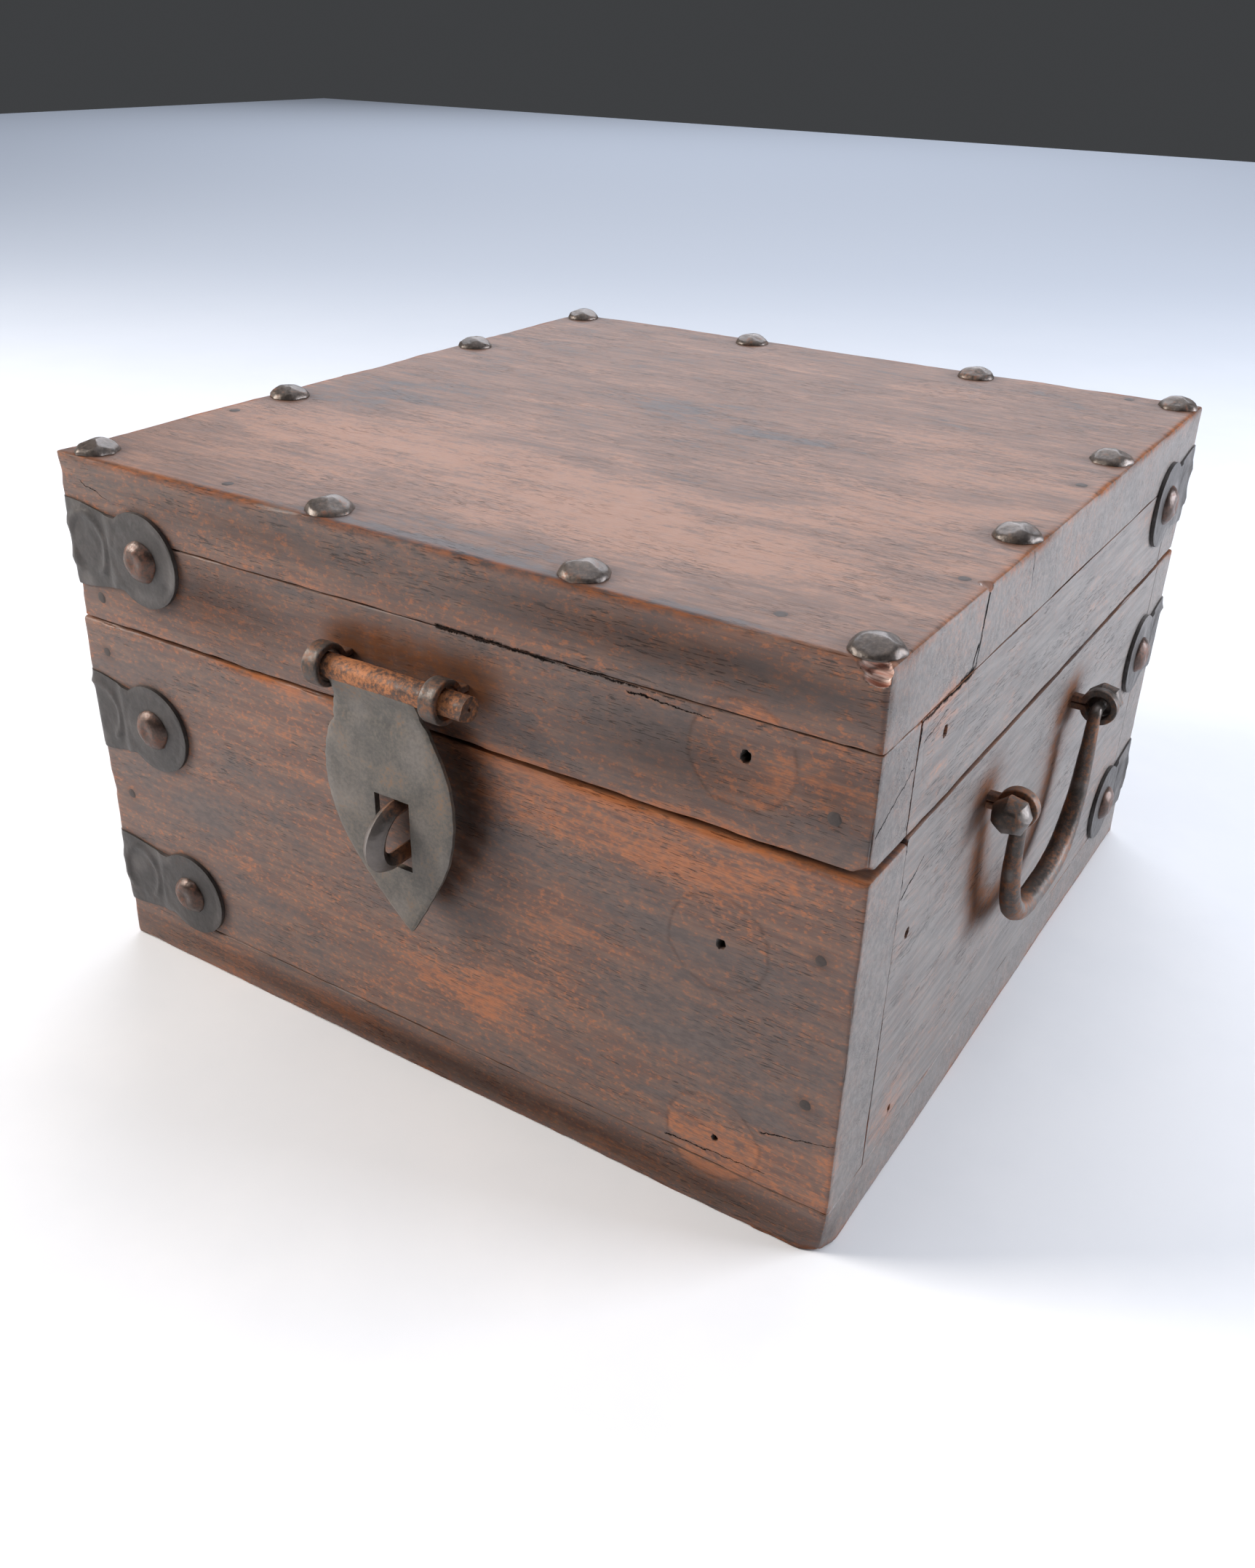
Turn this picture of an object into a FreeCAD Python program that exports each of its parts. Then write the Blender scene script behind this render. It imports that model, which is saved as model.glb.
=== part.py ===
import FreeCAD, Part
import math
import os

# A small wooden box with iron fittings. A case of four boards stands on a base board, and a lid
# of four boards under one wide plank hinges at its back. Iron straps with round ends wrap three
# corners, dome headed nails hold the plank, a leaf shaped hasp turns in two eyes and drops over
# a staple, and a bail handle hangs in two eyes on each end.
# Lengths are in millimetres. X runs to the right along the front, Y to the back and Z up.
# The origin is the centre of the base board's underside.

# Box
chest_width = 305.0
chest_depth = 309.0
chest_height = 197.0
base_thickness = 19.0
plank_thickness = 24.0
front_thickness = 25.0
side_thickness = 22.0
lid_height = 59.0
lid_gap = 0.6
lid_left_setback = 2.0
lid_right_setback = 0.6
corner_rounding = 2.5
corner_flats = 3
plank_edge_wear = 1.6

# Fits
cut_overrun = 2.0
shank_clearance = 0.1
running_clearance = 0.08
loose_clearance = 0.5
side_play = 0.4

# Dome headed nails, on the plank and on the straps
dome_radius = 7.85
dome_height = 4.6
dome_sides = 10
dome_shank_side = 4.0
# The head's outline from its foot to its crown, as shares of its radius and height
dome_outline_shares = ((1.0, 0.0), (0.92, 0.34), (0.6, 0.8), (0.2, 1.0))
plank_nail_length = 42.0
strap_nail_length = 20.0
nail_tip_share = 0.3
nail_point_share = 0.3
plank_nail_inset = 8.0
# Places on the plank, as shares of the half spans between the outermost nails
plank_nail_shares = (
    (-0.976, -1.0), (-0.244, -1.0), (0.402, -1.0), (1.0, -1.0),
    (-1.0, -0.366), (-1.0, 0.42),
    (-1.0, 1.0), (-0.341, 1.0), (0.414, 1.0), (1.0, 1.0),
    (1.0, 0.358), (1.0, -0.312),
)

# Small square headed nails, driven flush
flush_head_side = 4.6
flush_head_height = 1.2
flush_shank_side = 2.8
flush_nail_length = 40.0
plank_flush_shares = (
    (-0.545, -1.0), (0.796, -0.96), (1.0, 0.12), (1.0, -0.604), (-1.0, -0.559), (0.865, 1.0),
)
# Heights of the joint nails on the boards' ends, between the straps and at the corner without any
lid_joint_share = 0.25
lid_bare_joint_share = 0.4
case_joint_shares = (0.41, 0.9)
case_bare_joint_shares = (0.32, 0.75)
base_nail_shares = (-0.5, 0.5)

# Corner straps; the reaches from the corner are those of the lid, upper and lower straps
strap_thickness = 1.6
strap_disc_radius = 16.5
strap_disc_sides = 16
strap_reaches = (37.0, 31.5, 38.0)
strap_corner_height = 31.0
strap_neck_height = 25.0
lid_strap_below_top = 31.0
upper_strap_below_rim = 36.4
lower_strap_above_foot = 33.0

# Empty nail holes where the fourth corner has lost its straps: how far each lies below the height
# of the other straps, and its reaches from the corner
empty_hole_side = 3.0
empty_hole_depth = 18.0
lost_strap_drops = (4.2, 0.0, 3.6)
lost_strap_front_reaches = (37.9, 41.4, 39.2)
lost_strap_side_reaches = (44.4, 35.2, 42.5)

# Hasp and its two eyes
hasp_x = -1.9
hasp_axis_above_rim = 18.0
hasp_stand_off = 9.5
hasp_barrel_radius = 4.1
hasp_sheet = 2.2
barrel_seam = 0.5
hasp_eye_spacing = 45.0
hasp_eye_width = 6.0
hasp_left_end = 2.0
hasp_right_end = 7.9
hasp_neck_half_width = 16.9
hasp_neck_length = 8.4
neck_shift = -2.1
neck_shift_power = 12
leaf_half_width = 25.4
leaf_tip_below_staple = 36.2
leaf_lean = 6.4
slot_width = 13.8
slot_shift = -1.0
slot_above_staple = 0.4
slot_below_staple = 0.9
# Half width and distance below the neck, as shares of the leaf's half width and length
leaf_outline_shares = (
    (0.665, 0.0), (0.866, 0.15), (0.953, 0.23), (1.0, 0.335), (0.992, 0.434), (0.839, 0.62),
    (0.638, 0.736), (0.37, 0.86),
)

# Staple
staple_x = 1.0
staple_below_rim = 32.6
staple_wire_radius = 3.1
staple_half_spacing = 8.7
staple_straight = 11.0
staple_reach = 19.0
staple_droop = 3.5
staple_lean = 2.6
staple_sides = 8
staple_bend_stations = 6
staple_leg_side = 4.4
staple_clench_length = 14.0

# Eyes of bent strip, for the hasp and the handles
eye_strip = 3.1
eye_sides = 12
eye_leg_strip = 2.6
eye_clench_length = 9.0

# Bail handles
handle_axis_below_rim = 20.2
handle_centre_y = -16.0
handle_stand_off = 9.5
handle_eye_width = 4.0
bail_neck_radius = 2.3
bail_grip_radius = 4.2
bail_half_span = 38.5
bail_drop = 53.3
bail_elbow_radius = 3.0
bail_roundness = 3.0
bail_sides = 10
bail_stations = 14
handle_eye_room = 1.3
bail_knob_radius = 6.7
bail_knob_length = 9.2
# The knob's outline away from the eye, as shares of its length and radius
knob_outline_shares = ((0.0, 0.8), (0.22, 0.97), (0.5, 1.0), (0.8, 0.82), (1.0, 0.5))

# Hinges
hinge_strap_gap = 4.0
hinge_width = 24.0
hinge_strip = 2.0
hinge_pin_radius = 2.1
hinge_knuckle_radius = 4.2
hinge_knuckle_sides = 12
hinge_wood_clearance = 0.4
hinge_case_length = 58.0
hinge_lid_length = 46.0
hinge_nail_head_radius = 3.6
hinge_nail_head_height = 1.9
hinge_nail_sides = 6
hinge_nail_shank_side = 2.6
hinge_nail_length = 16.0
hinge_nail_shares = (0.3, 0.56, 0.82)
hinge_nail_side_share = 0.22

front_corners = ((1, -1), (-1, -1))
back_corners = ((1, 1), (-1, 1))
all_corners = front_corners + back_corners

half_width = chest_width / 2
half_depth = chest_depth / 2
lid_bottom = chest_height - lid_height
rim_height = lid_bottom - lid_gap
lid_strap_height = chest_height - lid_strap_below_top
upper_strap_height = rim_height - upper_strap_below_rim
lower_strap_height = lower_strap_above_foot
staple_height = rim_height - staple_below_rim
handle_axis_height = rim_height - handle_axis_below_rim
hasp_axis_height = rim_height + hasp_axis_above_rim
leaf_length = hasp_axis_height - hasp_neck_length - staple_height + leaf_tip_below_staple
plank_bottom = chest_height - plank_thickness
lid_left = -half_width + lid_left_setback
lid_right = half_width - lid_right_setback
hinge_x = half_width - max(strap_reaches) - strap_disc_radius - hinge_strap_gap - hinge_width / 2
hinge_y = half_depth + hinge_knuckle_radius + hinge_wood_clearance
hinge_z = rim_height + lid_gap / 2
hasp_y = -half_depth - hasp_stand_off
handle_eye_spacing = 2 * (bail_half_span + bail_elbow_radius) + handle_eye_width

up = FreeCAD.Vector(0, 0, 1)
down = FreeCAD.Vector(0, 0, -1)
to_right = FreeCAD.Vector(1, 0, 0)
to_left = FreeCAD.Vector(-1, 0, 0)
to_back = FreeCAD.Vector(0, 1, 0)
to_front = FreeCAD.Vector(0, -1, 0)


def block(x_range, y_range, z_range):
    """A box between two values on each axis."""
    low = FreeCAD.Vector(x_range[0], y_range[0], z_range[0])
    return Part.makeBox(x_range[1] - x_range[0], y_range[1] - y_range[0], z_range[1] - z_range[0], low)


def fused(shapes):
    """One solid from shapes that touch or overlap."""
    return shapes[0].fuse(shapes[1:]).removeSplitter().Solids[0]


def set_at(shape, place, outward):
    """A copy whose local Z points outward from a place on a face."""
    placed = shape.copy()
    placed.Placement = FreeCAD.Placement(place, FreeCAD.Rotation(up, outward))
    return placed


def aimed(shape, outward, place):
    """A copy whose local X points outward, to the right, the left or the front, from a place."""
    if outward.x < 0:
        placed = shape.mirror(FreeCAD.Vector(0, 0, 0), to_right)
    else:
        placed = shape.copy()
        placed.Placement = FreeCAD.Placement(FreeCAD.Vector(0, 0, 0), FreeCAD.Rotation(to_right, outward))
    placed.translate(place)
    return placed


def ring_points(sides, radius, centre, first, second):
    """The corners of a regular ring about a centre, in the plane of two unit directions."""
    points = []
    for index in range(sides):
        angle = 2 * math.pi * (index + 0.5) / sides
        points.append(centre + first * (radius * math.cos(angle)) + second * (radius * math.sin(angle)))
    return points


def flat_face(points):
    """A flat face with straight edges."""
    return Part.Face(Part.makePolygon(points + points[:1]))


def faceted(rings):
    """A closed solid of flat faces between rings that have the same number of corners."""
    faces = [flat_face(rings[0]), flat_face(rings[-1])]
    for low, high in zip(rings, rings[1:]):
        for index in range(len(low)):
            after = (index + 1) % len(low)
            faces.append(flat_face([low[index], low[after], high[after]]))
            faces.append(flat_face([low[index], high[after], high[index]]))
    shell = Part.Shell(faces)
    solid = Part.Solid(shell)
    if solid.Volume < 0:
        shell.reverse()
        solid = Part.Solid(shell)
    return solid.removeSplitter()


def prism(sides, radius, foot, direction, length):
    """A regular prism from a foot point along an upright or level direction."""
    first = up if abs(direction.z) < 1 else to_right
    section = flat_face(ring_points(sides, radius, foot, first, direction.cross(first)))
    return section.extrude(direction * length)


def forged_bar(points, radii, across, sides):
    """A hammered bar that bends in one plane, with a flat sided section at each point."""
    rings = []
    for index, point in enumerate(points):
        before = points[max(index - 1, 0)]
        after = points[min(index + 1, len(points) - 1)]
        along = (after - before).normalize()
        rings.append(ring_points(sides, radii[index], point, across, along.cross(across)))
    return faceted(rings)


def square_points(side, z):
    """The corners of a square about the Z axis."""
    return ring_points(4, side / math.sqrt(2), FreeCAD.Vector(0, 0, z), to_right, to_back)


def forged_shank(side, length):
    """A square shank below z = 0, drawn to a point."""
    straight = length * (1 - nail_point_share)
    return faceted([square_points(side, 0), square_points(side, -straight),
                    square_points(side * nail_tip_share, -length)])


def dome_nail(radius, height, sides, side, length):
    """A nail with a low round head on z = 0 and a forged square shank."""
    rings = []
    for radius_share, height_share in dome_outline_shares:
        centre = FreeCAD.Vector(0, 0, height * height_share)
        rings.append(ring_points(sides, radius * radius_share, centre, to_right, to_back))
    return fused([faceted(rings), forged_shank(side, length)])


def flush_nail():
    """A small nail whose square head lies level with the wood."""
    h = flush_head_side / 2
    head = block((-h, h), (-h, h), (-flush_head_height, 0))
    return fused([head, forged_shank(flush_shank_side, flush_nail_length)])


def shank_hole(side, length):
    """The square hole that a shank needs, cut past the surface."""
    h = side / 2 + shank_clearance
    return block((-h, h), (-h, h), (-length - shank_clearance, cut_overrun))


def flush_hole():
    """The hole and the shallow seat of a flush nail."""
    h = flush_head_side / 2 + shank_clearance
    seat = block((-h, h), (-h, h), (-flush_head_height, cut_overrun))
    return seat.fuse(shank_hole(flush_shank_side, flush_nail_length))


class NailGroup:
    """Nails of one kind that share a node, with the holes that they need."""

    def __init__(self, nail, hole, places):
        self.nails = [set_at(nail, place, outward) for place, outward in places]
        self.holes = [set_at(hole, place, outward) for place, outward in places]


def drilled(body, holes):
    """A solid with every hole that reaches it cut out."""
    near = [hole for hole in holes if hole.BoundBox.intersect(body.BoundBox)]
    if near:
        body = body.cut(near)
    return body.Solids[0]


def board_outline(x_range, y_range, z, radius, round_corners):
    """The outline of a board seen from above; its round corners are made of a few short flats."""
    points = []
    for turn, (side_x, side_y) in enumerate(((1, -1), (1, 1), (-1, 1), (-1, -1))):
        x = x_range[1] if side_x > 0 else x_range[0]
        y = y_range[1] if side_y > 0 else y_range[0]
        if (side_x, side_y) not in round_corners:
            points.append(FreeCAD.Vector(x, y, z))
            continue
        for step in range(corner_flats + 1):
            angle = math.pi / 2 * (turn - 1 + step / corner_flats)
            round_x = x - side_x * radius + radius * math.cos(angle)
            round_y = y - side_y * radius + radius * math.sin(angle)
            points.append(FreeCAD.Vector(round_x, round_y, z))
    return points


def rounded_board(x_range, y_range, z_range, round_corners):
    """A board whose upright edges are worn round at the given corners."""
    foot = board_outline(x_range, y_range, z_range[0], corner_rounding, round_corners)
    return flat_face(foot).extrude(up * (z_range[1] - z_range[0]))


def frame_boards(left, right, bottom, top):
    """The four boards of a box: front and back cover the ends of the two sides."""
    inner_front = -half_depth + front_thickness
    inner_back = half_depth - front_thickness
    heights = (bottom, top)
    return {
        "front_board": rounded_board((left, right), (-half_depth, inner_front), heights, front_corners),
        "back_board": rounded_board((left, right), (inner_back, half_depth), heights, back_corners),
        "left_board": block((left, left + side_thickness), (inner_front, inner_back), heights),
        "right_board": block((right - side_thickness, right), (inner_front, inner_back), heights),
    }


def top_plank():
    """The wide plank on the lid, with the edges of its upper face worn away."""
    wear = plank_edge_wear
    x_range = (lid_left, lid_right)
    y_range = (-half_depth, half_depth)
    inner_x = (lid_left + wear, lid_right - wear)
    inner_y = (-half_depth + wear, half_depth - wear)
    return faceted([
        board_outline(x_range, y_range, plank_bottom, corner_rounding, all_corners),
        board_outline(x_range, y_range, chest_height - wear, corner_rounding, all_corners),
        board_outline(inner_x, inner_y, chest_height, corner_rounding - wear, all_corners),
    ])


def strap_arm(reach):
    """One arm of a strap, flat on y = 0 and running from the corner along X to its round end."""
    corner = strap_corner_height / 2
    neck = strap_neck_height / 2
    places = ((corner_rounding, -corner), (reach, -neck), (reach, neck), (corner_rounding, corner))
    band = flat_face([FreeCAD.Vector(x, 0, z) for x, z in places]).extrude(to_front * strap_thickness)
    centre = FreeCAD.Vector(reach, 0, 0)
    return band.fuse(prism(strap_disc_sides, strap_disc_radius, centre, to_front, strap_thickness))


def corner_strap(reach):
    """A strap round an upright corner at the origin, with the wood at positive X and Y."""
    front = strap_arm(reach)
    side = front.mirror(FreeCAD.Vector(0, 0, 0), FreeCAD.Vector(1, -1, 0))
    low = -strap_corner_height / 2
    inner = board_outline((0, reach), (0, reach), low, corner_rounding, ((-1, -1),))
    room = (-strap_thickness, reach)
    outer = board_outline(room, room, low, corner_rounding + strap_thickness, ((-1, -1),))
    bend = flat_face(outer).cut(flat_face(inner)).extrude(up * strap_corner_height)
    quarter = block((-strap_thickness, corner_rounding), (-strap_thickness, corner_rounding),
                    (low, -low))
    return fused([front, side, bend.common(quarter)])


def strip_eye(width, stand_off, bore, board):
    """An eye of bent strip: a ring along Y, its two legs through a board at negative X, clenched."""
    ring_start = FreeCAD.Vector(stand_off, -width / 2, 0)
    flat_share = math.cos(math.pi / eye_sides)
    ring = prism(eye_sides, (bore + eye_strip) / flat_share, ring_start, to_back, width)
    hole = prism(eye_sides, bore / flat_share, ring_start, to_back, width)
    sides = (-width / 2, width / 2)
    legs = block((-board - eye_leg_strip, stand_off), sides, (-eye_leg_strip, eye_leg_strip))
    clench = eye_leg_strip + eye_clench_length
    bent_legs = block((-board - eye_leg_strip, -board), sides, (-clench, clench))
    return fused([ring, legs, bent_legs]).cut(hole).Solids[0]


def strip_eye_slot(width, board):
    """The slot through a board for the legs of an eye."""
    h = width / 2 + shank_clearance
    v = eye_leg_strip + shank_clearance
    return block((-board - cut_overrun, cut_overrun), (-h, h), (-v, v))


def staple():
    """A loop on the case front whose square legs pass through the board and are clenched. Its bend
    droops and leans to the left."""
    bend_centre = FreeCAD.Vector(staple_x, -half_depth - staple_straight, staple_height)
    bend = to_front * (staple_reach - staple_straight) + down * staple_droop + to_left * staple_lean
    root = FreeCAD.Vector(staple_x, -half_depth, staple_height)
    points = [root + up * staple_half_spacing]
    for index in range(staple_bend_stations + 1):
        angle = math.pi * index / staple_bend_stations
        points.append(bend_centre + up * (staple_half_spacing * math.cos(angle)) + bend * math.sin(angle))
    points.append(root + down * staple_half_spacing)
    pieces = [forged_bar(points, [staple_wire_radius] * len(points), to_right, staple_sides)]
    side = staple_leg_side / 2
    inner_face = -half_depth + front_thickness
    for sign in (1, -1):
        z = staple_height + sign * staple_half_spacing
        sides = (staple_x - side, staple_x + side)
        pieces.append(block(sides, (-half_depth, inner_face + staple_leg_side), (z - side, z + side)))
        ends = sorted((z - sign * side, z + sign * staple_clench_length))
        pieces.append(block(sides, (inner_face, inner_face + staple_leg_side), ends))
    return fused(pieces)


def staple_holes():
    """The two square holes for the legs of the staple."""
    h = staple_leg_side / 2 + shank_clearance
    y_range = (-half_depth - cut_overrun, -half_depth + front_thickness + cut_overrun)
    holes = []
    for sign in (1, -1):
        z = staple_height + sign * staple_half_spacing
        holes.append(block((staple_x - h, staple_x + h), y_range, (z - h, z + h)))
    return holes


def leaf_side(sign):
    """One side of the leaf as a smooth curve down to the tip, which leans to the right."""
    points = []
    for width_share, length_share in leaf_outline_shares + ((0.0, 1.0),):
        shift = neck_shift * (1 - length_share) ** neck_shift_power + leaf_lean * length_share ** 3
        x = sign * width_share * leaf_half_width + shift
        points.append(FreeCAD.Vector(x, 0, -hasp_neck_length - length_share * leaf_length))
    curve = Part.BSplineCurve()
    curve.interpolate(points)
    return curve.toShape(), points


def hasp():
    """A leaf shaped plate with a slot, rolled at its top into the barrel that turns in the eyes."""
    right_side, right_points = leaf_side(1)
    left_side, left_points = leaf_side(-1)
    neck_right = FreeCAD.Vector(neck_shift + hasp_neck_half_width, 0, 0)
    neck_left = FreeCAD.Vector(neck_shift - hasp_neck_half_width, 0, 0)
    edge = Part.Wire(Part.__sortEdges__([
        Part.makeLine(neck_left, neck_right),
        Part.makeLine(neck_right, right_points[0]),
        right_side,
        left_side,
        Part.makeLine(left_points[0], neck_left),
    ]))
    leaf = Part.Face(edge).extrude(to_back * hasp_sheet)
    leaf.translate(to_front * (hasp_sheet / 2))
    slot_x = staple_x + slot_shift - hasp_x
    staple_top = staple_height + staple_half_spacing + staple_wire_radius - hasp_axis_height
    staple_bottom = staple_height - staple_half_spacing - staple_wire_radius - hasp_axis_height
    slot = block((slot_x - slot_width / 2, slot_x + slot_width / 2), (-hasp_sheet, hasp_sheet),
                 (staple_bottom - slot_below_staple, staple_top + slot_above_staple))
    outer_eye = hasp_eye_spacing / 2 + hasp_eye_width / 2
    left_end = -outer_eye - hasp_left_end
    length = outer_eye + hasp_right_end - left_end
    start = FreeCAD.Vector(left_end, 0, 0)
    barrel = Part.makeCylinder(hasp_barrel_radius, length, start, to_right)
    core = Part.makeCylinder(hasp_barrel_radius - hasp_sheet, length, start, to_right)
    seam = block((left_end, left_end + length), (0, hasp_barrel_radius), (0, barrel_seam))
    whole = fused([barrel, leaf.cut(slot)]).cut([core, seam]).Solids[0]
    whole.translate(FreeCAD.Vector(hasp_x, hasp_y, hasp_axis_height))
    return whole


def bail_point(share):
    """A point on the bail's centre line, a superellipse hung from its two elbows."""
    angle = math.pi * share
    across = math.copysign(abs(math.cos(angle)) ** (2 / bail_roundness), math.cos(angle))
    below = abs(math.sin(angle)) ** (2 / bail_roundness)
    depth = bail_elbow_radius + (bail_drop - bail_elbow_radius) * below
    return FreeCAD.Vector(0, bail_half_span * across, -depth)


def knob():
    """The hammered end of a bail outside its eye, on the positive Y side."""
    start = handle_eye_spacing / 2 + handle_eye_width / 2 + side_play
    rings = []
    for length_share, radius_share in knob_outline_shares:
        centre = FreeCAD.Vector(0, start + bail_knob_length * length_share, 0)
        rings.append(ring_points(bail_sides, bail_knob_radius * radius_share, centre, up, to_right))
    return faceted(rings)


def bail():
    """A forged bail in the plane x = 0: round pins in the two eyes, elbows, and a grip that swells."""
    pin_start = bail_half_span + bail_elbow_radius
    pin_end = handle_eye_spacing / 2 + handle_eye_width / 2 + side_play + bail_knob_length / 2
    bend = bail_elbow_radius * (1 - math.sqrt(2) / 2)
    half = [FreeCAD.Vector(0, pin_start, 0), FreeCAD.Vector(0, bail_half_span + bend, -bend)]
    points = list(half)
    radii = [bail_neck_radius] * len(half)
    for index in range(bail_stations + 1):
        share = index / bail_stations
        swell = math.sin(math.pi * share) ** (2 / bail_roundness)
        points.append(bail_point(share))
        radii.append(bail_neck_radius + (bail_grip_radius - bail_neck_radius) * swell)
    points += [FreeCAD.Vector(0, -point.y, point.z) for point in reversed(half)]
    radii += [bail_neck_radius] * len(half)
    bar = forged_bar(points, radii, to_right, bail_sides)
    pin = Part.makeCylinder(bail_neck_radius, pin_end - pin_start, FreeCAD.Vector(0, pin_start, 0), to_back)
    end = fused([pin, knob()])
    return fused([bar, end, end.mirror(FreeCAD.Vector(0, 0, 0), to_back)])


def hinge_leaf(length, knuckles):
    """A strap that hangs below its pin on the face y = 0, with a tapered foot and its knuckles."""
    y_axis = hinge_y - half_depth
    h = hinge_width / 2
    places = ((-h, 0), (-h, -length + h), (-h / 2, -length), (h / 2, -length), (h, -length + h), (h, 0))
    whole = flat_face([FreeCAD.Vector(x, 0, z) for x, z in places]).extrude(to_back * hinge_strip)
    third = hinge_width / 3
    for index in range(3):
        low = -h + index * third
        if index in knuckles:
            start = FreeCAD.Vector(low + side_play / 2, y_axis, 0)
            knuckle = prism(hinge_knuckle_sides, hinge_knuckle_radius, start, to_right, third - side_play)
            whole = whole.fuse(knuckle)
        else:
            room = hinge_knuckle_radius + loose_clearance
            whole = whole.cut(block((low - side_play / 2, low + third + side_play / 2),
                                    (-cut_overrun, hinge_strip + cut_overrun), (-room, room)))
    bore = hinge_pin_radius + running_clearance
    start = FreeCAD.Vector(-hinge_width, y_axis, 0)
    whole = whole.cut(Part.makeCylinder(bore, hinge_width + hinge_width, start, to_right))
    return whole.removeSplitter().Solids[0]


def hinge_nail_places(x, sign, length):
    """Three nails in a zigzag down one leaf; sign is -1 below the pin and 1 above it."""
    places = []
    for index, share in enumerate(hinge_nail_shares):
        side = hinge_width * hinge_nail_side_share * (-1) ** index
        place = FreeCAD.Vector(x + side, half_depth + hinge_strip, hinge_z + sign * share * length)
        places.append((place, to_back))
    return places


# Nail places
lid_half_x = (lid_right - lid_left) / 2 - plank_nail_inset
lid_centre_x = (lid_right + lid_left) / 2
nail_half_y = half_depth - plank_nail_inset


def on_plank(shares):
    """A place on top of the plank with its outward direction."""
    x = lid_centre_x + lid_half_x * shares[0]
    return FreeCAD.Vector(x, nail_half_y * shares[1], chest_height), up


# The three corners that still have their straps: name, the side along X and the side along Y
strapped_corners = (("front_left", -1, -1), ("back_left", -1, 1), ("back_right", 1, 1))


def strap_places(left, right, height, reach, out):
    """The two nails of each strap at one height, on its round ends."""
    places = []
    for name, side_x, side_y in strapped_corners:
        x = left if side_x < 0 else right
        y = side_y * half_depth
        on_face = FreeCAD.Vector(x - side_x * reach, y + side_y * out, height)
        on_side = FreeCAD.Vector(x + side_x * out, y - side_y * reach, height)
        places.append((on_face, to_back * side_y))
        places.append((on_side, to_right * side_x))
    return places


def joint_places(left, right, bottom, top, shares, bare_shares):
    """Flush nails through the front and back boards into the ends of the sides."""
    places = []
    for x, side_x in ((left + side_thickness / 2, -1), (right - side_thickness / 2, 1)):
        for side_y in (-1, 1):
            bare = side_x > 0 and side_y < 0
            for share in bare_shares if bare else shares:
                height = bottom + share * (top - bottom)
                places.append((FreeCAD.Vector(x, side_y * half_depth, height), to_back * side_y))
    return places


lid_joint_places = joint_places(lid_left, lid_right, lid_bottom, plank_bottom,
                                (lid_joint_share,), (lid_bare_joint_share,))
case_joint_places = joint_places(-half_width, half_width, base_thickness, rim_height,
                                 case_joint_shares, case_bare_joint_shares)
base_places = []
for share in base_nail_shares:
    for sign in (-1, 1):
        along = FreeCAD.Vector(share * half_width, sign * (half_depth - front_thickness / 2), 0)
        across = FreeCAD.Vector(sign * (half_width - side_thickness / 2), share * half_depth, 0)
        base_places += [(along, down), (across, down)]

plank_dome = dome_nail(dome_radius, dome_height, dome_sides, dome_shank_side, plank_nail_length)
strap_dome = dome_nail(dome_radius, dome_height, dome_sides, dome_shank_side, strap_nail_length)
small_nail = flush_nail()
hinge_nail = dome_nail(hinge_nail_head_radius, hinge_nail_head_height, hinge_nail_sides,
                       hinge_nail_shank_side, hinge_nail_length)
plank_dome_hole = shank_hole(dome_shank_side, plank_nail_length)
strap_dome_hole = shank_hole(dome_shank_side, strap_nail_length)
hinge_nail_hole = shank_hole(hinge_nail_shank_side, hinge_nail_length)

strap_heights = (lid_strap_height, upper_strap_height, lower_strap_height)
case_strap_places = []
for strap_height, reach in zip(strap_heights[1:], strap_reaches[1:]):
    case_strap_places += strap_places(-half_width, half_width, strap_height, reach, strap_thickness)
lid_strap_places = strap_places(lid_left, lid_right, lid_strap_height, strap_reaches[0], strap_thickness)
hinge_case_places = hinge_nail_places(-hinge_x, -1, hinge_case_length)
hinge_case_places += hinge_nail_places(hinge_x, -1, hinge_case_length)
hinge_lid_places = hinge_nail_places(-hinge_x, 1, hinge_lid_length)
hinge_lid_places += hinge_nail_places(hinge_x, 1, hinge_lid_length)

nail_groups = {
    "lid_dome_nails": NailGroup(plank_dome, plank_dome_hole, [on_plank(s) for s in plank_nail_shares]),
    "lid_flush_nails": NailGroup(small_nail, flush_hole(), [on_plank(s) for s in plank_flush_shares]),
    "lid_joint_nails": NailGroup(small_nail, flush_hole(), lid_joint_places),
    "lid_strap_nails": NailGroup(strap_dome, strap_dome_hole, lid_strap_places),
    "hinge_lid_nails": NailGroup(hinge_nail, hinge_nail_hole, hinge_lid_places),
    "case_strap_nails": NailGroup(strap_dome, strap_dome_hole, case_strap_places),
    "case_joint_nails": NailGroup(small_nail, flush_hole(), case_joint_places),
    "base_nails": NailGroup(small_nail, flush_hole(), base_places),
    "hinge_case_nails": NailGroup(hinge_nail, hinge_nail_hole, hinge_case_places),
}

# Iron pieces that go through the wood
handle_sides = (("right", 1, to_right), ("left", -1, to_left))
handle_eye = strip_eye(handle_eye_width, handle_stand_off, bail_neck_radius + handle_eye_room, side_thickness)
handle_slot = strip_eye_slot(handle_eye_width, side_thickness)
hasp_eye = strip_eye(hasp_eye_width, hasp_stand_off, hasp_barrel_radius + loose_clearance, front_thickness)
hasp_slot = strip_eye_slot(hasp_eye_width, front_thickness)

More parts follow.
